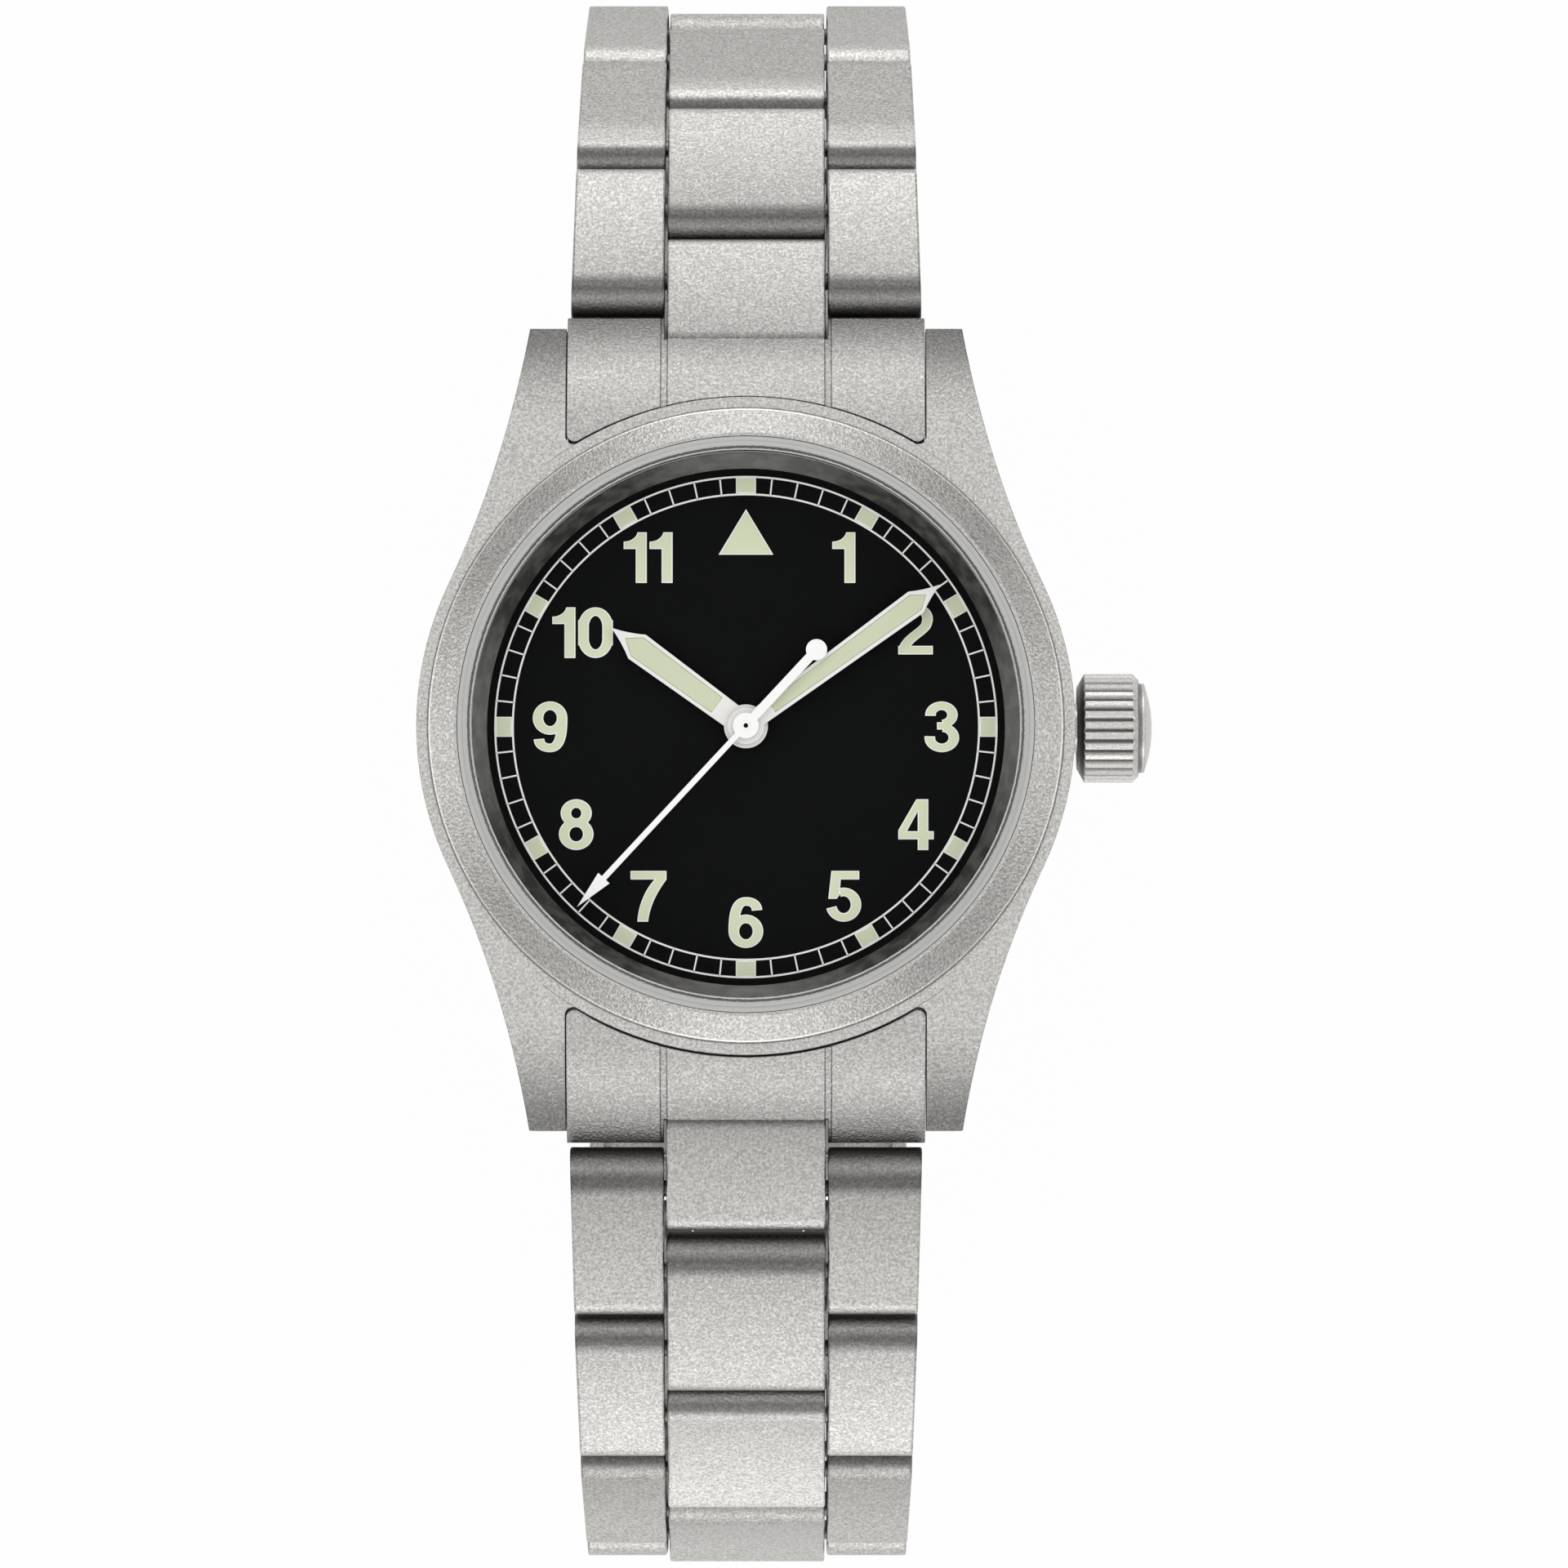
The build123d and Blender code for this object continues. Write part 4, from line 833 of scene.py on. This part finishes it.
class Cover(Enum):
    """Finishes of painted, printed, moulded and clear pieces."""

    DIAL = Coat("dial_paint", (0.0044, 0.0048, 0.0048), 0.8, grain=0.05, contrast=0.35,
                depth=0.002, strength=0.25, gloss=0.04)
    PRINT = Coat("print_white", (0.88, 0.88, 0.84), 0.55, grain=0.05, contrast=0.03)
    LUME = Coat("lume_dial", (0.650, 0.700, 0.500), 0.75, grain=0.07, contrast=0.07,
                depth=0.008, strength=0.5, gloss=0.2)
    HAND_LUME = Coat("lume_hands", (0.590, 0.636, 0.455), 0.75, grain=0.07, contrast=0.07,
                     depth=0.008, strength=0.5, gloss=0.2)
    HAND = Coat("hand_paint", (0.795, 0.788, 0.765), 0.35, grain=0.05, contrast=0.02,
                depth=0.001, strength=0.15)
    SECONDS = Coat("seconds_white", (0.90, 0.90, 0.885), 0.35, grain=0.05, contrast=0.02,
                   depth=0.001, strength=0.15)
    SEAL = Coat("seal_grey", (0.52, 0.52, 0.50), 0.5, grain=0.08, contrast=0.12)
    SPACER = Coat("spacer_plastic", (0.52, 0.50, 0.45), 0.5, grain=0.12)
    FLANGE = FlangePaint("flange_paint")
    CRYSTAL = ClearCrystal("crystal_clear")
    COIL = CopperWinding("coil_enamel")
    BOARD = CircuitLacquer("board_lacquer")


def placed(name: str, data: bpy.types.ID) -> bpy.types.Object:
    """Put data into the scene.

    Args:
        name: the name of the new object.
        data: its mesh, lamp or lens.

    Returns:
        The new object.
    """
    made = bpy.data.objects.new(name, data)
    bpy.context.scene.collection.objects.link(made)
    return made


def shown(name: str, mesh: bmesh.types.BMesh, finishes: Sequence[Finish]) -> bpy.types.Object:
    """Put a modelled mesh into the scene.

    Args:
        name: the name of the object and its mesh.
        mesh: the mesh, in metres and in place. It is freed.
        finishes: the finishes that its faces count through.

    Returns:
        The new object.
    """
    data = bpy.data.meshes.new(name)
    mesh.to_mesh(data)
    mesh.free()
    for finish in finishes:
        data.materials.append(finish.material())
    return placed(name, data)


def new_piece(name: str, mesh: bmesh.types.BMesh, finishes: Sequence[Enum], body: str) -> None:
    """Turn a modelled mesh into a piece of the watch.

    Args:
        name: the piece's name.
        mesh: its mesh, in metres and in place. It is freed.
        finishes: the finishes that its faces count through.
        body: the body that it rides on.
    """
    bmesh.ops.recalc_face_normals(mesh, faces=mesh.faces)
    piece = shown(name, mesh, [finish.value for finish in finishes])
    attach(piece, body)
    log.info("made %s with %d faces on %s", name, len(piece.data.polygons), body)


def slab(mesh: bmesh.types.BMesh, outline: Outline, base: float, height: float,
         border: float = 0.0, finish: int = 0) -> None:
    """Raise a flat outline to a thin plate.

    Args:
        mesh: the mesh that takes the plate.
        outline: its corners in order, in millimetres.
        base: level of its underside.
        height: its thickness.
        border: how far its edge draws in from the outline.
        finish: index of its finish.
    """
    corners = [mesh.verts.new((x * MM, y * MM, base * MM)) for x, y in outline]
    face = mesh.faces.new(corners)
    if border:
        face.normal_update()
        rim = bmesh.ops.inset_region(mesh, faces=[face], thickness=border * MM,
                                     use_even_offset=True, use_boundary=True)
        bmesh.ops.delete(mesh, geom=rim["faces"], context="FACES")
    face.material_index = finish
    raised = bmesh.ops.extrude_face_region(mesh, geom=[face], use_keep_orig=True)
    moved = [part for part in raised["geom"] if isinstance(part, bmesh.types.BMVert)]
    bmesh.ops.translate(mesh, verts=moved, vec=(0.0, 0.0, height * MM))
    for part in moved:
        for near in part.link_faces:
            near.material_index = finish


def spun(mesh: bmesh.types.BMesh, section: Sequence[Point], steps: int, closed: bool) -> None:
    """Spin a section round the hands' axis.

    Args:
        mesh: the mesh that takes the round shape.
        section: distances to the axis and levels, in millimetres.
        steps: how many faces it has round the axis.
        closed: whether the section's last point joins the first.
    """
    points = [mesh.verts.new((x * MM, 0.0, z * MM)) for x, z in section]
    ends = points[1:] + points[:1] if closed else points[1:]
    edges = [mesh.edges.new(pair) for pair in zip(points, ends)]
    bmesh.ops.spin(mesh, geom=points + edges, cent=(0.0, 0.0, 0.0), axis=(0.0, 0.0, 1.0),
                   angle=math.tau, steps=steps, use_merge=True)


def level_edges(mesh: bmesh.types.BMesh, level: float) -> list[bmesh.types.BMEdge]:
    """The edges that lie at a level in millimetres."""
    return [edge for edge in mesh.edges
            if all(abs(end.co.z - level * MM) < SAME_LEVEL for end in edge.verts)]


def box(left: float, low: float, right: float, high: float) -> Outline:
    """Corners of an upright rectangle."""
    return [(left, low), (right, low), (right, high), (left, high)]


def arc(centre: Point, radii: Point, start: float, end: float, steps: int = 22) -> Outline:
    """Points on an ellipse between two angles in degrees."""
    angles = [math.radians(start + (end - start) * step / steps) for step in range(steps + 1)]
    return [(centre[0] + radii[0] * math.cos(a), centre[1] + radii[1] * math.sin(a))
            for a in angles]


def sweep(first: Point, pull_first: Point, pull_last: Point, last: Point,
          steps: int = 14) -> Outline:
    """Points on a curve that leaves and arrives along its two pulls.

    Args:
        first: where it starts.
        pull_first: the point that it starts towards.
        pull_last: the point that it comes from at its end.
        last: where it ends.
        steps: how many runs it has.

    Returns:
        The points, with both ends.
    """
    points = []
    for step in range(steps + 1):
        t = step / steps
        shares = ((1 - t) ** 3, 3 * t * (1 - t) ** 2, 3 * t * t * (1 - t), t ** 3)
        corners = (first, pull_first, pull_last, last)
        points.append(tuple(sum(s * corner[k] for s, corner in zip(shares, corners))
                            for k in (0, 1)))
    return points


def moved_outline(outline: Outline, x: float, y: float, turned: bool = False) -> Outline:
    """An outline moved by x and y, after a half turn if wanted."""
    sign = -1 if turned else 1
    return [(sign * px + x, sign * py + y) for px, py in outline]


def turned_clockwise(outline: Outline, angle: float) -> Outline:
    """An outline turned clockwise about the hands' axis."""
    c, s = math.cos(math.radians(angle)), math.sin(math.radians(angle))
    return [(x * c + y * s, y * c - x * s) for x, y in outline]


@dataclass(frozen=True)
class NumeralShapes:
    """Outlines of bold condensed numerals, drawn with an upright flat pen.

    The points of a numeral are shares of its width w and height h, and px and py are the pen's
    width across and up.
    """

    height: float = 2.55
    width: float = 1.74
    one_width: float = 1.16
    pen_x: float = 0.53
    pen_y: float = 0.43
    gap: float = 0.14

    def sizes(self) -> tuple[float, float, float, float]:
        """Width and height of a numeral, and of the pen."""
        return self.width, self.height, self.pen_x, self.pen_y

    def stroke(self, path: Outline) -> Outline:
        """Outline of a pen stroke along a path.

        Args:
            path: the middle of the stroke.

        Returns:
            The closed outline round it.
        """
        left, right = [], []
        for index, (x, y) in enumerate(path):
            before = path[max(index - 1, 0)]
            after = path[min(index + 1, len(path) - 1)]
            run = Vector((after[0] - before[0], after[1] - before[1])).normalized()
            dx, dy = -run.y * self.pen_x / 2, run.x * self.pen_y / 2
            left.append((x + dx, y + dy))
            right.append((x - dx, y - dy))
        return left + right[::-1]

    def loop(self, centre: Point, radii: Point) -> list[Outline]:
        """A closed bowl in two strokes that overlap."""
        return [self.stroke(arc(centre, radii, -115, 115)),
                self.stroke(arc(centre, radii, 65, 295))]

    def zero(self) -> list[Outline]:
        """The numeral 0: a tall bowl with straight sides.

        Returns:
            The outlines of its strokes.
        """
        w, h, px, py = self.sizes()
        rx, ry, reach = (w - px) / 2, 0.30 * h, (h / 2 - py / 2) * 0.6
        top = arc((w / 2, h - py / 2 - ry), (rx, ry), -10, 190)
        foot = arc((w / 2, py / 2 + ry), (rx, ry), 170, 370)
        sides = [self.stroke([(x, h / 2 - reach), (x, h / 2 + reach)])
                 for x in (px / 2, w - px / 2)]
        return [self.stroke(top), self.stroke(foot), *sides]

    def one(self) -> list[Outline]:
        """The numeral 1: a stem with a hooked flag.

        Returns:
            Its outline.
        """
        w, h, stem = self.one_width, self.height, self.pen_x + 0.02
        flag_low, flag_high = 0.67 * h, 0.815 * h
        hook = sweep((0.0, flag_high), (0.32 * w, flag_high), (0.56 * w, 0.9 * h), (0.6 * w, h), 8)
        return [[(w - stem, 0.0), (w, 0.0), (w, h), *hook[::-1], (0.0, flag_low),
                 (w - stem, flag_low)]]

    def two(self) -> list[Outline]:
        """The numeral 2: a hook, a slanting neck and a foot.

        Returns:
            The outlines of its strokes.
        """
        w, h, px, py = self.sizes()
        bowl = arc((0.50 * w, 0.70 * h), ((w - px) / 2, 0.30 * h - py / 2), 178, -20, 20)
        neck = sweep(bowl[-1], (0.82 * w, 0.47 * h), (0.24 * w, 0.34 * h),
                     (px / 2 + 0.02, 0.10 * h))
        return [self.stroke(bowl + neck[1:]), box(0.0, 0.0, w, py)]

    def three(self) -> list[Outline]:
        """The numeral 3: two open bowls that meet in a short bar.

        Returns:
            The outlines of its strokes.
        """
        w, h, px, py = self.sizes()
        high = arc((0.49 * w, 0.735 * h), (0.47 * w - px / 2, 0.265 * h - py / 2), 186, -84)
        low = arc((0.50 * w, 0.285 * h), ((w - px) / 2, 0.285 * h - py / 2), 84, -188)
        return [self.stroke(high), self.stroke(low), box(0.36 * w, 0.446 * h, 0.74 * w, 0.59 * h)]

    def four(self) -> list[Outline]:
        """The numeral 4: a stem, a bar and a slanting side.

        Returns:
            The outlines of its strokes.
        """
        w, h, px, _ = self.sizes()
        stem, bar_low, bar_high = 0.56 * w, 0.21 * h, 0.37 * h
        slant = [(0.0, bar_low), (0.0, bar_high + 0.02 * h), (0.52 * w, h), (stem + px / 2, h),
                 (stem + px / 2, 0.76 * h), (stem, 0.76 * h), (0.25 * w, bar_high),
                 (0.25 * w, bar_low)]
        return [box(stem, 0.0, stem + px, h), box(0.0, bar_low, w + 0.04, bar_high), slant]

    def five(self) -> list[Outline]:
        """The numeral 5: an open bowl, a short stem and a bar.

        Returns:
            The outlines of its strokes.
        """
        w, h, px, py = self.sizes()
        bowl = arc((0.49 * w, 0.335 * h), (0.51 * w - px / 2, 0.335 * h - py / 2), 192, 469.2, 27)
        stem = [(0.05 * w, 0.45 * h), (0.29 * w, 0.45 * h), (0.37 * w, 0.52 * h),
                (0.43 * w, h), (0.14 * w, h)]
        return [self.stroke(bowl), stem, box(0.14 * w, h - py, 0.94 * w, h)]

    def six(self) -> list[Outline]:
        """The numeral 6: the numeral 9 after a half turn."""
        return [moved_outline(part, self.width, self.height, turned=True) for part in self.nine()]

    def seven(self) -> list[Outline]:
        """The numeral 7: a bar and a curved leg.

        Returns:
            Its outline.
        """
        w, h, py = self.width + 0.06, self.height, self.pen_y
        outer = sweep((w, 0.83 * h), (0.78 * w, 0.62 * h), (0.54 * w, 0.34 * h), (0.49 * w, 0.0))
        inner = sweep((0.67 * w, h - py), (0.44 * w, 0.66 * h), (0.22 * w, 0.36 * h),
                      (0.19 * w, 0.0))
        return [[(0.0, h), (w, h), *outer, *inner[::-1], (0.0, h - py)]]

    def eight(self) -> list[Outline]:
        """The numeral 8: a small bowl on a larger one.

        Returns:
            The outlines of its strokes.
        """
        w, h, px, py = self.sizes()
        return (self.loop((0.5 * w, 0.726 * h), (0.45 * w - px / 2, 0.274 * h - py / 2))
                + self.loop((0.5 * w, 0.312 * h), ((w - px) / 2, 0.312 * h - py / 2)))

    def nine(self) -> list[Outline]:
        """The numeral 9: a bowl with a tail that hooks under it.

        Returns:
            The outlines of its strokes.
        """
        w, h, px, py = self.sizes()
        right, low = w - px / 2, (0.5 * w, py / 2)
        tail = sweep((right, 0.66 * h), (right, 0.30 * h), (0.76 * w, py / 2), low)
        hook = sweep(low, (0.30 * w, py / 2), (0.19 * w, 0.15 * h), (0.18 * w, 0.26 * h))
        bowl = self.loop((0.5 * w, 0.672 * h), ((w - px) / 2, 0.328 * h - py / 2))
        return [*bowl, self.stroke(tail + hook[1:])]

    def number(self, value: int) -> tuple[list[Outline], float]:
        """Outlines of a whole number, from its lower left corner.

        Args:
            value: the number to draw.

        Returns:
            The outlines and the number's width.
        """
        makers = (self.zero, self.one, self.two, self.three, self.four, self.five, self.six,
                  self.seven, self.eight, self.nine)
        parts, x = [], 0.0
        for digit in (int(sign) for sign in str(value)):
            parts += [moved_outline(part, x, 0.0) for part in makers[digit]()]
            x += (self.one_width if digit == 1 else self.width) + self.gap
        return parts, x - self.gap


@dataclass
class DialPrint:
    """What is printed on the dial: numerals, the triangle, the minute track and its blocks."""

    level: float = 4.6
    ink: float = 0.012
    lume: float = 0.025
    trace: float = 0.0015
    border: float = 0.052
    inner_track: float = 11.70
    outer_track: float = 12.58
    line: float = 0.095
    tick_half: float = 0.42
    circle_steps: int = 180
    block_width: float = 1.0
    numeral_reach: float = 9.83
    double_reach: float = 9.47
    triangle_tip: float = 10.95
    triangle_foot: float = 8.66
    triangle_width: float = 2.75
    shapes: NumeralShapes = field(default_factory=NumeralShapes)

    def build(self) -> None:
        """Print everything on the dial."""
        self.make_track()
        for hour in range(12):
            self.make_block(hour)
        for hour in range(1, 12):
            self.make_numeral(hour)
        self.make_triangle()

    def make_track(self) -> None:
        """Two circles with a line at every minute that has no block."""
        mesh = bmesh.new()
        for radius in (self.inner_track, self.outer_track):
            spun(mesh, box(radius - self.line / 2, self.level,
                           radius + self.line / 2, self.level + self.ink),
                 self.circle_steps, closed=True)
        half = self.line * self.tick_half
        tick = box(-half, self.inner_track, half, self.outer_track)
        for minute in range(60):
            if minute % 5:
                slab(mesh, turned_clockwise(tick, minute * MINUTE_ANGLE), self.level, self.ink)
        new_piece("dial_minute_track", mesh, [Cover.PRINT], HEAD)

    def _plates(self, name: str, outlines: Sequence[Outline]) -> None:
        """A piece of white grounds, with a luminous filling inside an even border on each.

        Args:
            name: the piece's name.
            outlines: the corners of each ground. Each lies a trace higher than the last.
        """
        mesh = bmesh.new()
        for order, outline in enumerate(outlines):
            lift = order * self.trace
            slab(mesh, outline, self.level, self.ink + lift)
            slab(mesh, outline, self.level, self.lume + lift, self.border, finish=1)
        new_piece(name, mesh, [Cover.PRINT, Cover.LUME], HEAD)

    def make_block(self, hour: int) -> None:
        """Luminous block between the two circles at an hour."""
        half, line = self.block_width / 2, self.line / 2
        block = box(-half, self.inner_track + line, half, self.outer_track - line)
        self._plates(f"dial_block_{hour or 12}", [turned_clockwise(block, hour * HOUR_ANGLE)])

    def make_numeral(self, hour: int) -> None:
        """Upright numeral of an hour.

        Args:
            hour: the hour, from 1 to 11.
        """
        parts, width = self.shapes.number(hour)
        reach = self.double_reach if hour == 10 else self.numeral_reach
        angle = math.radians(hour * HOUR_ANGLE)
        x, y = reach * math.sin(angle) - width / 2, reach * math.cos(angle) - self.shapes.height / 2
        self._plates(f"dial_numeral_{hour}", [moved_outline(part, x, y) for part in parts])

    def make_triangle(self) -> None:
        """Triangle at twelve that points outwards."""
        half, foot = self.triangle_width / 2, self.triangle_foot
        self._plates("dial_triangle", [[(-half, foot), (half, foot), (0.0, self.triangle_tip)]])


@dataclass
class HandFilling:
    """Luminous filling that lies in the recess of a hand."""

    name: str
    body: str
    start: float
    shoulder: float
    shoulder_width: float
    root_width: float
    level: float
    angle: float
    border: float = 0.18
    floor: float = 0.05
    height: float = 0.06
    tip_share: float = 1.3
    soft: float = 0.03

    def build(self) -> None:
        """Lay the filling into its hand and soften its upper rim."""
        half = self.shoulder_width / 2 - self.border
        root = self.root_width / 2 - self.border
        start_half = root + (half - root) * self.start / self.shoulder
        outline = [(-start_half, self.start), (start_half, self.start), (half, self.shoulder),
                   (0.0, self.shoulder + half * self.tip_share), (-half, self.shoulder)]
        mesh = bmesh.new()
        base = self.level + self.floor
        slab(mesh, turned_clockwise(outline, self.angle), base, self.height)
        bmesh.ops.bevel(mesh, geom=level_edges(mesh, base + self.height), offset=self.soft * MM,
                        segments=3, profile=0.5, affect="EDGES", material=-1)
        new_piece(self.name, mesh, [Cover.HAND_LUME], self.body)


@dataclass
class HubCap:
    """White rivet over the arbor of the seconds hand, with a dark dimple in its middle."""

    base: float = 5.70
    foot: float = 0.25
    top_share: float = 0.92
    dimple: float = 0.115
    dimple_top_share: float = 1.15
    height: float = 0.035
    floor: float = 0.008
    steps: int = 64

    def build(self) -> None:
        """Spin the rivet and close the floor of its dimple."""
        mesh = bmesh.new()
        top, low = self.base + self.height, self.base + self.floor
        spun(mesh, ((self.foot, self.base), (self.foot * self.top_share, top),
                    (self.dimple * self.dimple_top_share, top), (self.dimple, low)),
             self.steps, closed=False)
        rim = [edge for edge in level_edges(mesh, low) if edge.is_boundary]
        for face in bmesh.ops.contextual_create(mesh, geom=rim)["faces"]:
            face.material_index = 1
        new_piece("seconds_hand_rivet", mesh, [Cover.SECONDS, Cover.DIAL], "seconds")


class Dresser:
    """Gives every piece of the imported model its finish."""

    starts: Mapping[Enum, tuple[str, ...]] = {
        Metal.CASE: ("case_body",),
        Metal.BEZEL: ("bezel",),
        Metal.BACK: ("caseback",),
        Metal.CROWN: ("crown",),
        Metal.END_LINK: ("end_link",),
        Metal.UPPER_LINK: ("bracelet_12",),
        Metal.FAR_LINK: ("bracelet_12_side_2", "bracelet_12_centre_3", "bracelet_12_side_3"),
        Metal.LOWER_LINK: ("bracelet_6",),
        Metal.LOWER_SIDE: ("bracelet_6_side_2",),
        Metal.TURNED_LINK: ("bracelet_6_centre_3",),
        Metal.CLASP: ("clasp_cover",),
        Metal.BLADE: ("clasp_long_blade", "clasp_short_blade"),
        Metal.PIN: ("lug_spring_bars", "crown_tube", "winding_stem"),
        Metal.PLATE: ("main_plate", "train_bridge"),
        Metal.STATOR: ("motor_stator", "setting_lever"),
        Metal.CELL: ("battery_cell",),
        Metal.WHEEL: ("motor_rotor", "intermediate_wheel", "seconds_wheel", "third_wheel",
                      "centre_wheel", "minute_wheel", "hour_wheel"),
        Cover.COIL: ("motor_coil",),
        Cover.BOARD: ("circuit_board",),
        Cover.SPACER: ("movement_ring",),
        Cover.SEAL: ("case_seals",),
        Cover.CRYSTAL: ("crystal",),
        Cover.FLANGE: ("flange_ring",),
        Cover.DIAL: ("dial",),
        Cover.HAND: ("hour_hand", "minute_hand"),
        Cover.SECONDS: ("seconds_hand",),
    }

    def build(self) -> None:
        """Dress every node by the longest start that its name has."""
        finishes = {start: kind.value for kind, starts in self.starts.items() for start in starts}
        for node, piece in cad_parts.items():
            finish = finishes[max(filter(node.startswith, finishes), key=len)]
            piece.data.materials.clear()
            piece.data.materials.append(finish.material())
            log.info("dressed %s with %s", node, finish.name)


@dataclass(frozen=True)
class Softbox:
    """A square lamp that looks at the watch; level is the brightness that a mirror shows."""

    name: str
    azimuth: float
    elevation: float
    side_m: float
    level: float
    distance_m: float = 0.9

    def build(self) -> None:
        """Hang the lamp, out of the camera's sight."""
        lamp = bpy.data.lights.new(self.name, "AREA")
        lamp.shape = "SQUARE"
        lamp.size = self.side_m
        lamp.energy = math.pi * self.side_m ** 2 * self.level
        holder = placed(self.name, lamp)
        azimuth, elevation = math.radians(self.azimuth), math.radians(self.elevation)
        way = Vector((math.sin(azimuth) * math.cos(elevation),
                      math.cos(azimuth) * math.cos(elevation), math.sin(elevation)))
        holder.location = way * self.distance_m
        holder.rotation_mode = "QUATERNION"
        holder.rotation_quaternion = way.to_track_quat("Z", "Y")
        holder.visible_camera = False


@dataclass
class Studio:
    """Pale floor, soft light and the camera of the photograph's viewpoint."""

    focal_pixels: float = 13420.0
    image_pixels: float = 1920.0
    sensor: float = 36.0
    camera_distance: float = 550.0
    clip_m: Point = (0.01, 20.0)
    tilt: float = 3.1
    aim_right: float = 1.91
    aim_down: float = 2.87
    aim_level: float = 4.6
    floor_side_m: float = 8.0
    floor_gap: float = 14.2
    room: Stops = ((0.0, 0.14), (0.20, 0.19), (0.38, 0.46), (0.60, 0.92), (1.0, 1.09))
    lamps: tuple[Softbox, ...] = (
        Softbox("lamp_north", azimuth=0.0, elevation=20.0, side_m=0.56, level=1.80),
        Softbox("lamp_south", azimuth=180.0, elevation=20.0, side_m=0.56, level=1.75),
        Softbox("lamp_east", azimuth=90.0, elevation=22.0, side_m=0.40, level=1.70),
        Softbox("lamp_west", azimuth=270.0, elevation=22.0, side_m=0.40, level=2.10),
    )

    def build(self) -> None:
        """Set up everything round the watch."""
        self.make_world()
        self.make_floor()
        for lamp in self.lamps:
            lamp.build()
        self.make_camera()
        bpy.context.scene.view_settings.view_transform = "Standard"

    def make_world(self) -> None:
        """Soft room: bright overhead and dark along the horizon."""
        world = bpy.data.worlds.new("studio_room")
        bpy.context.scene.world = world
        world.use_nodes = True
        graph = Graph(world.node_tree)
        room = graph.stepped(graph.generated("Z"), self.room)
        graph.show(graph.node("ShaderNodeBackground", sockets={"Color": room}),
                   "ShaderNodeOutputWorld")

    def make_floor(self) -> None:
        """White floor that keeps a faint shadow, low enough for the clasp's own swing."""
        mesh = bmesh.new()
        bmesh.ops.create_grid(mesh, x_segments=4, y_segments=4, size=self.floor_side_m / 2)
        level = CAD_BOX[0].z - self.floor_gap * MM
        bmesh.ops.translate(mesh, verts=mesh.verts, vec=(0.0, 0.0, level))
        shown("floor", mesh, [FloorPaper("floor_paper")])

    def make_camera(self) -> None:
        """Long lens that looks down on the dial from slightly below its middle."""
        lean = math.radians(self.tilt)
        back = Vector((0.0, -math.sin(lean), math.cos(lean)))
        up = Vector((0.0, math.cos(lean), math.sin(lean)))
        right = Vector((1.0, 0.0, 0.0))
        aim = Vector((0.0, 0.0, self.aim_level)) + right * self.aim_right - up * self.aim_down
        lens = bpy.data.cameras.new("viewpoint")
        lens.sensor_width = self.sensor
        lens.lens = self.focal_pixels * self.sensor / self.image_pixels
        lens.clip_start, lens.clip_end = self.clip_m
        camera = placed("viewpoint", lens)
        eye = (aim + back * self.camera_distance) * MM
        axes = Matrix((right, up, back)).transposed().to_4x4()
        camera.matrix_world = Matrix.Translation(eye) @ axes
        bpy.context.scene.camera = camera


def main() -> None:
    """Build the studio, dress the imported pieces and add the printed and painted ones."""
    logging.basicConfig(level=logging.INFO)
    Studio().build()
    Dresser().build()
    DialPrint().build()
    HandFilling("hour_hand_filling", "hours", start=1.8, shoulder=6.77, shoulder_width=1.48,
                root_width=1.22, level=4.9, angle=306.25).build()
    HandFilling("minute_hand_filling", "minutes", start=1.6, shoulder=10.55,
                shoulder_width=1.3, root_width=0.92, level=5.23, angle=53.9).build()
    HubCap().build()


if __name__ == "__main__":
    main()
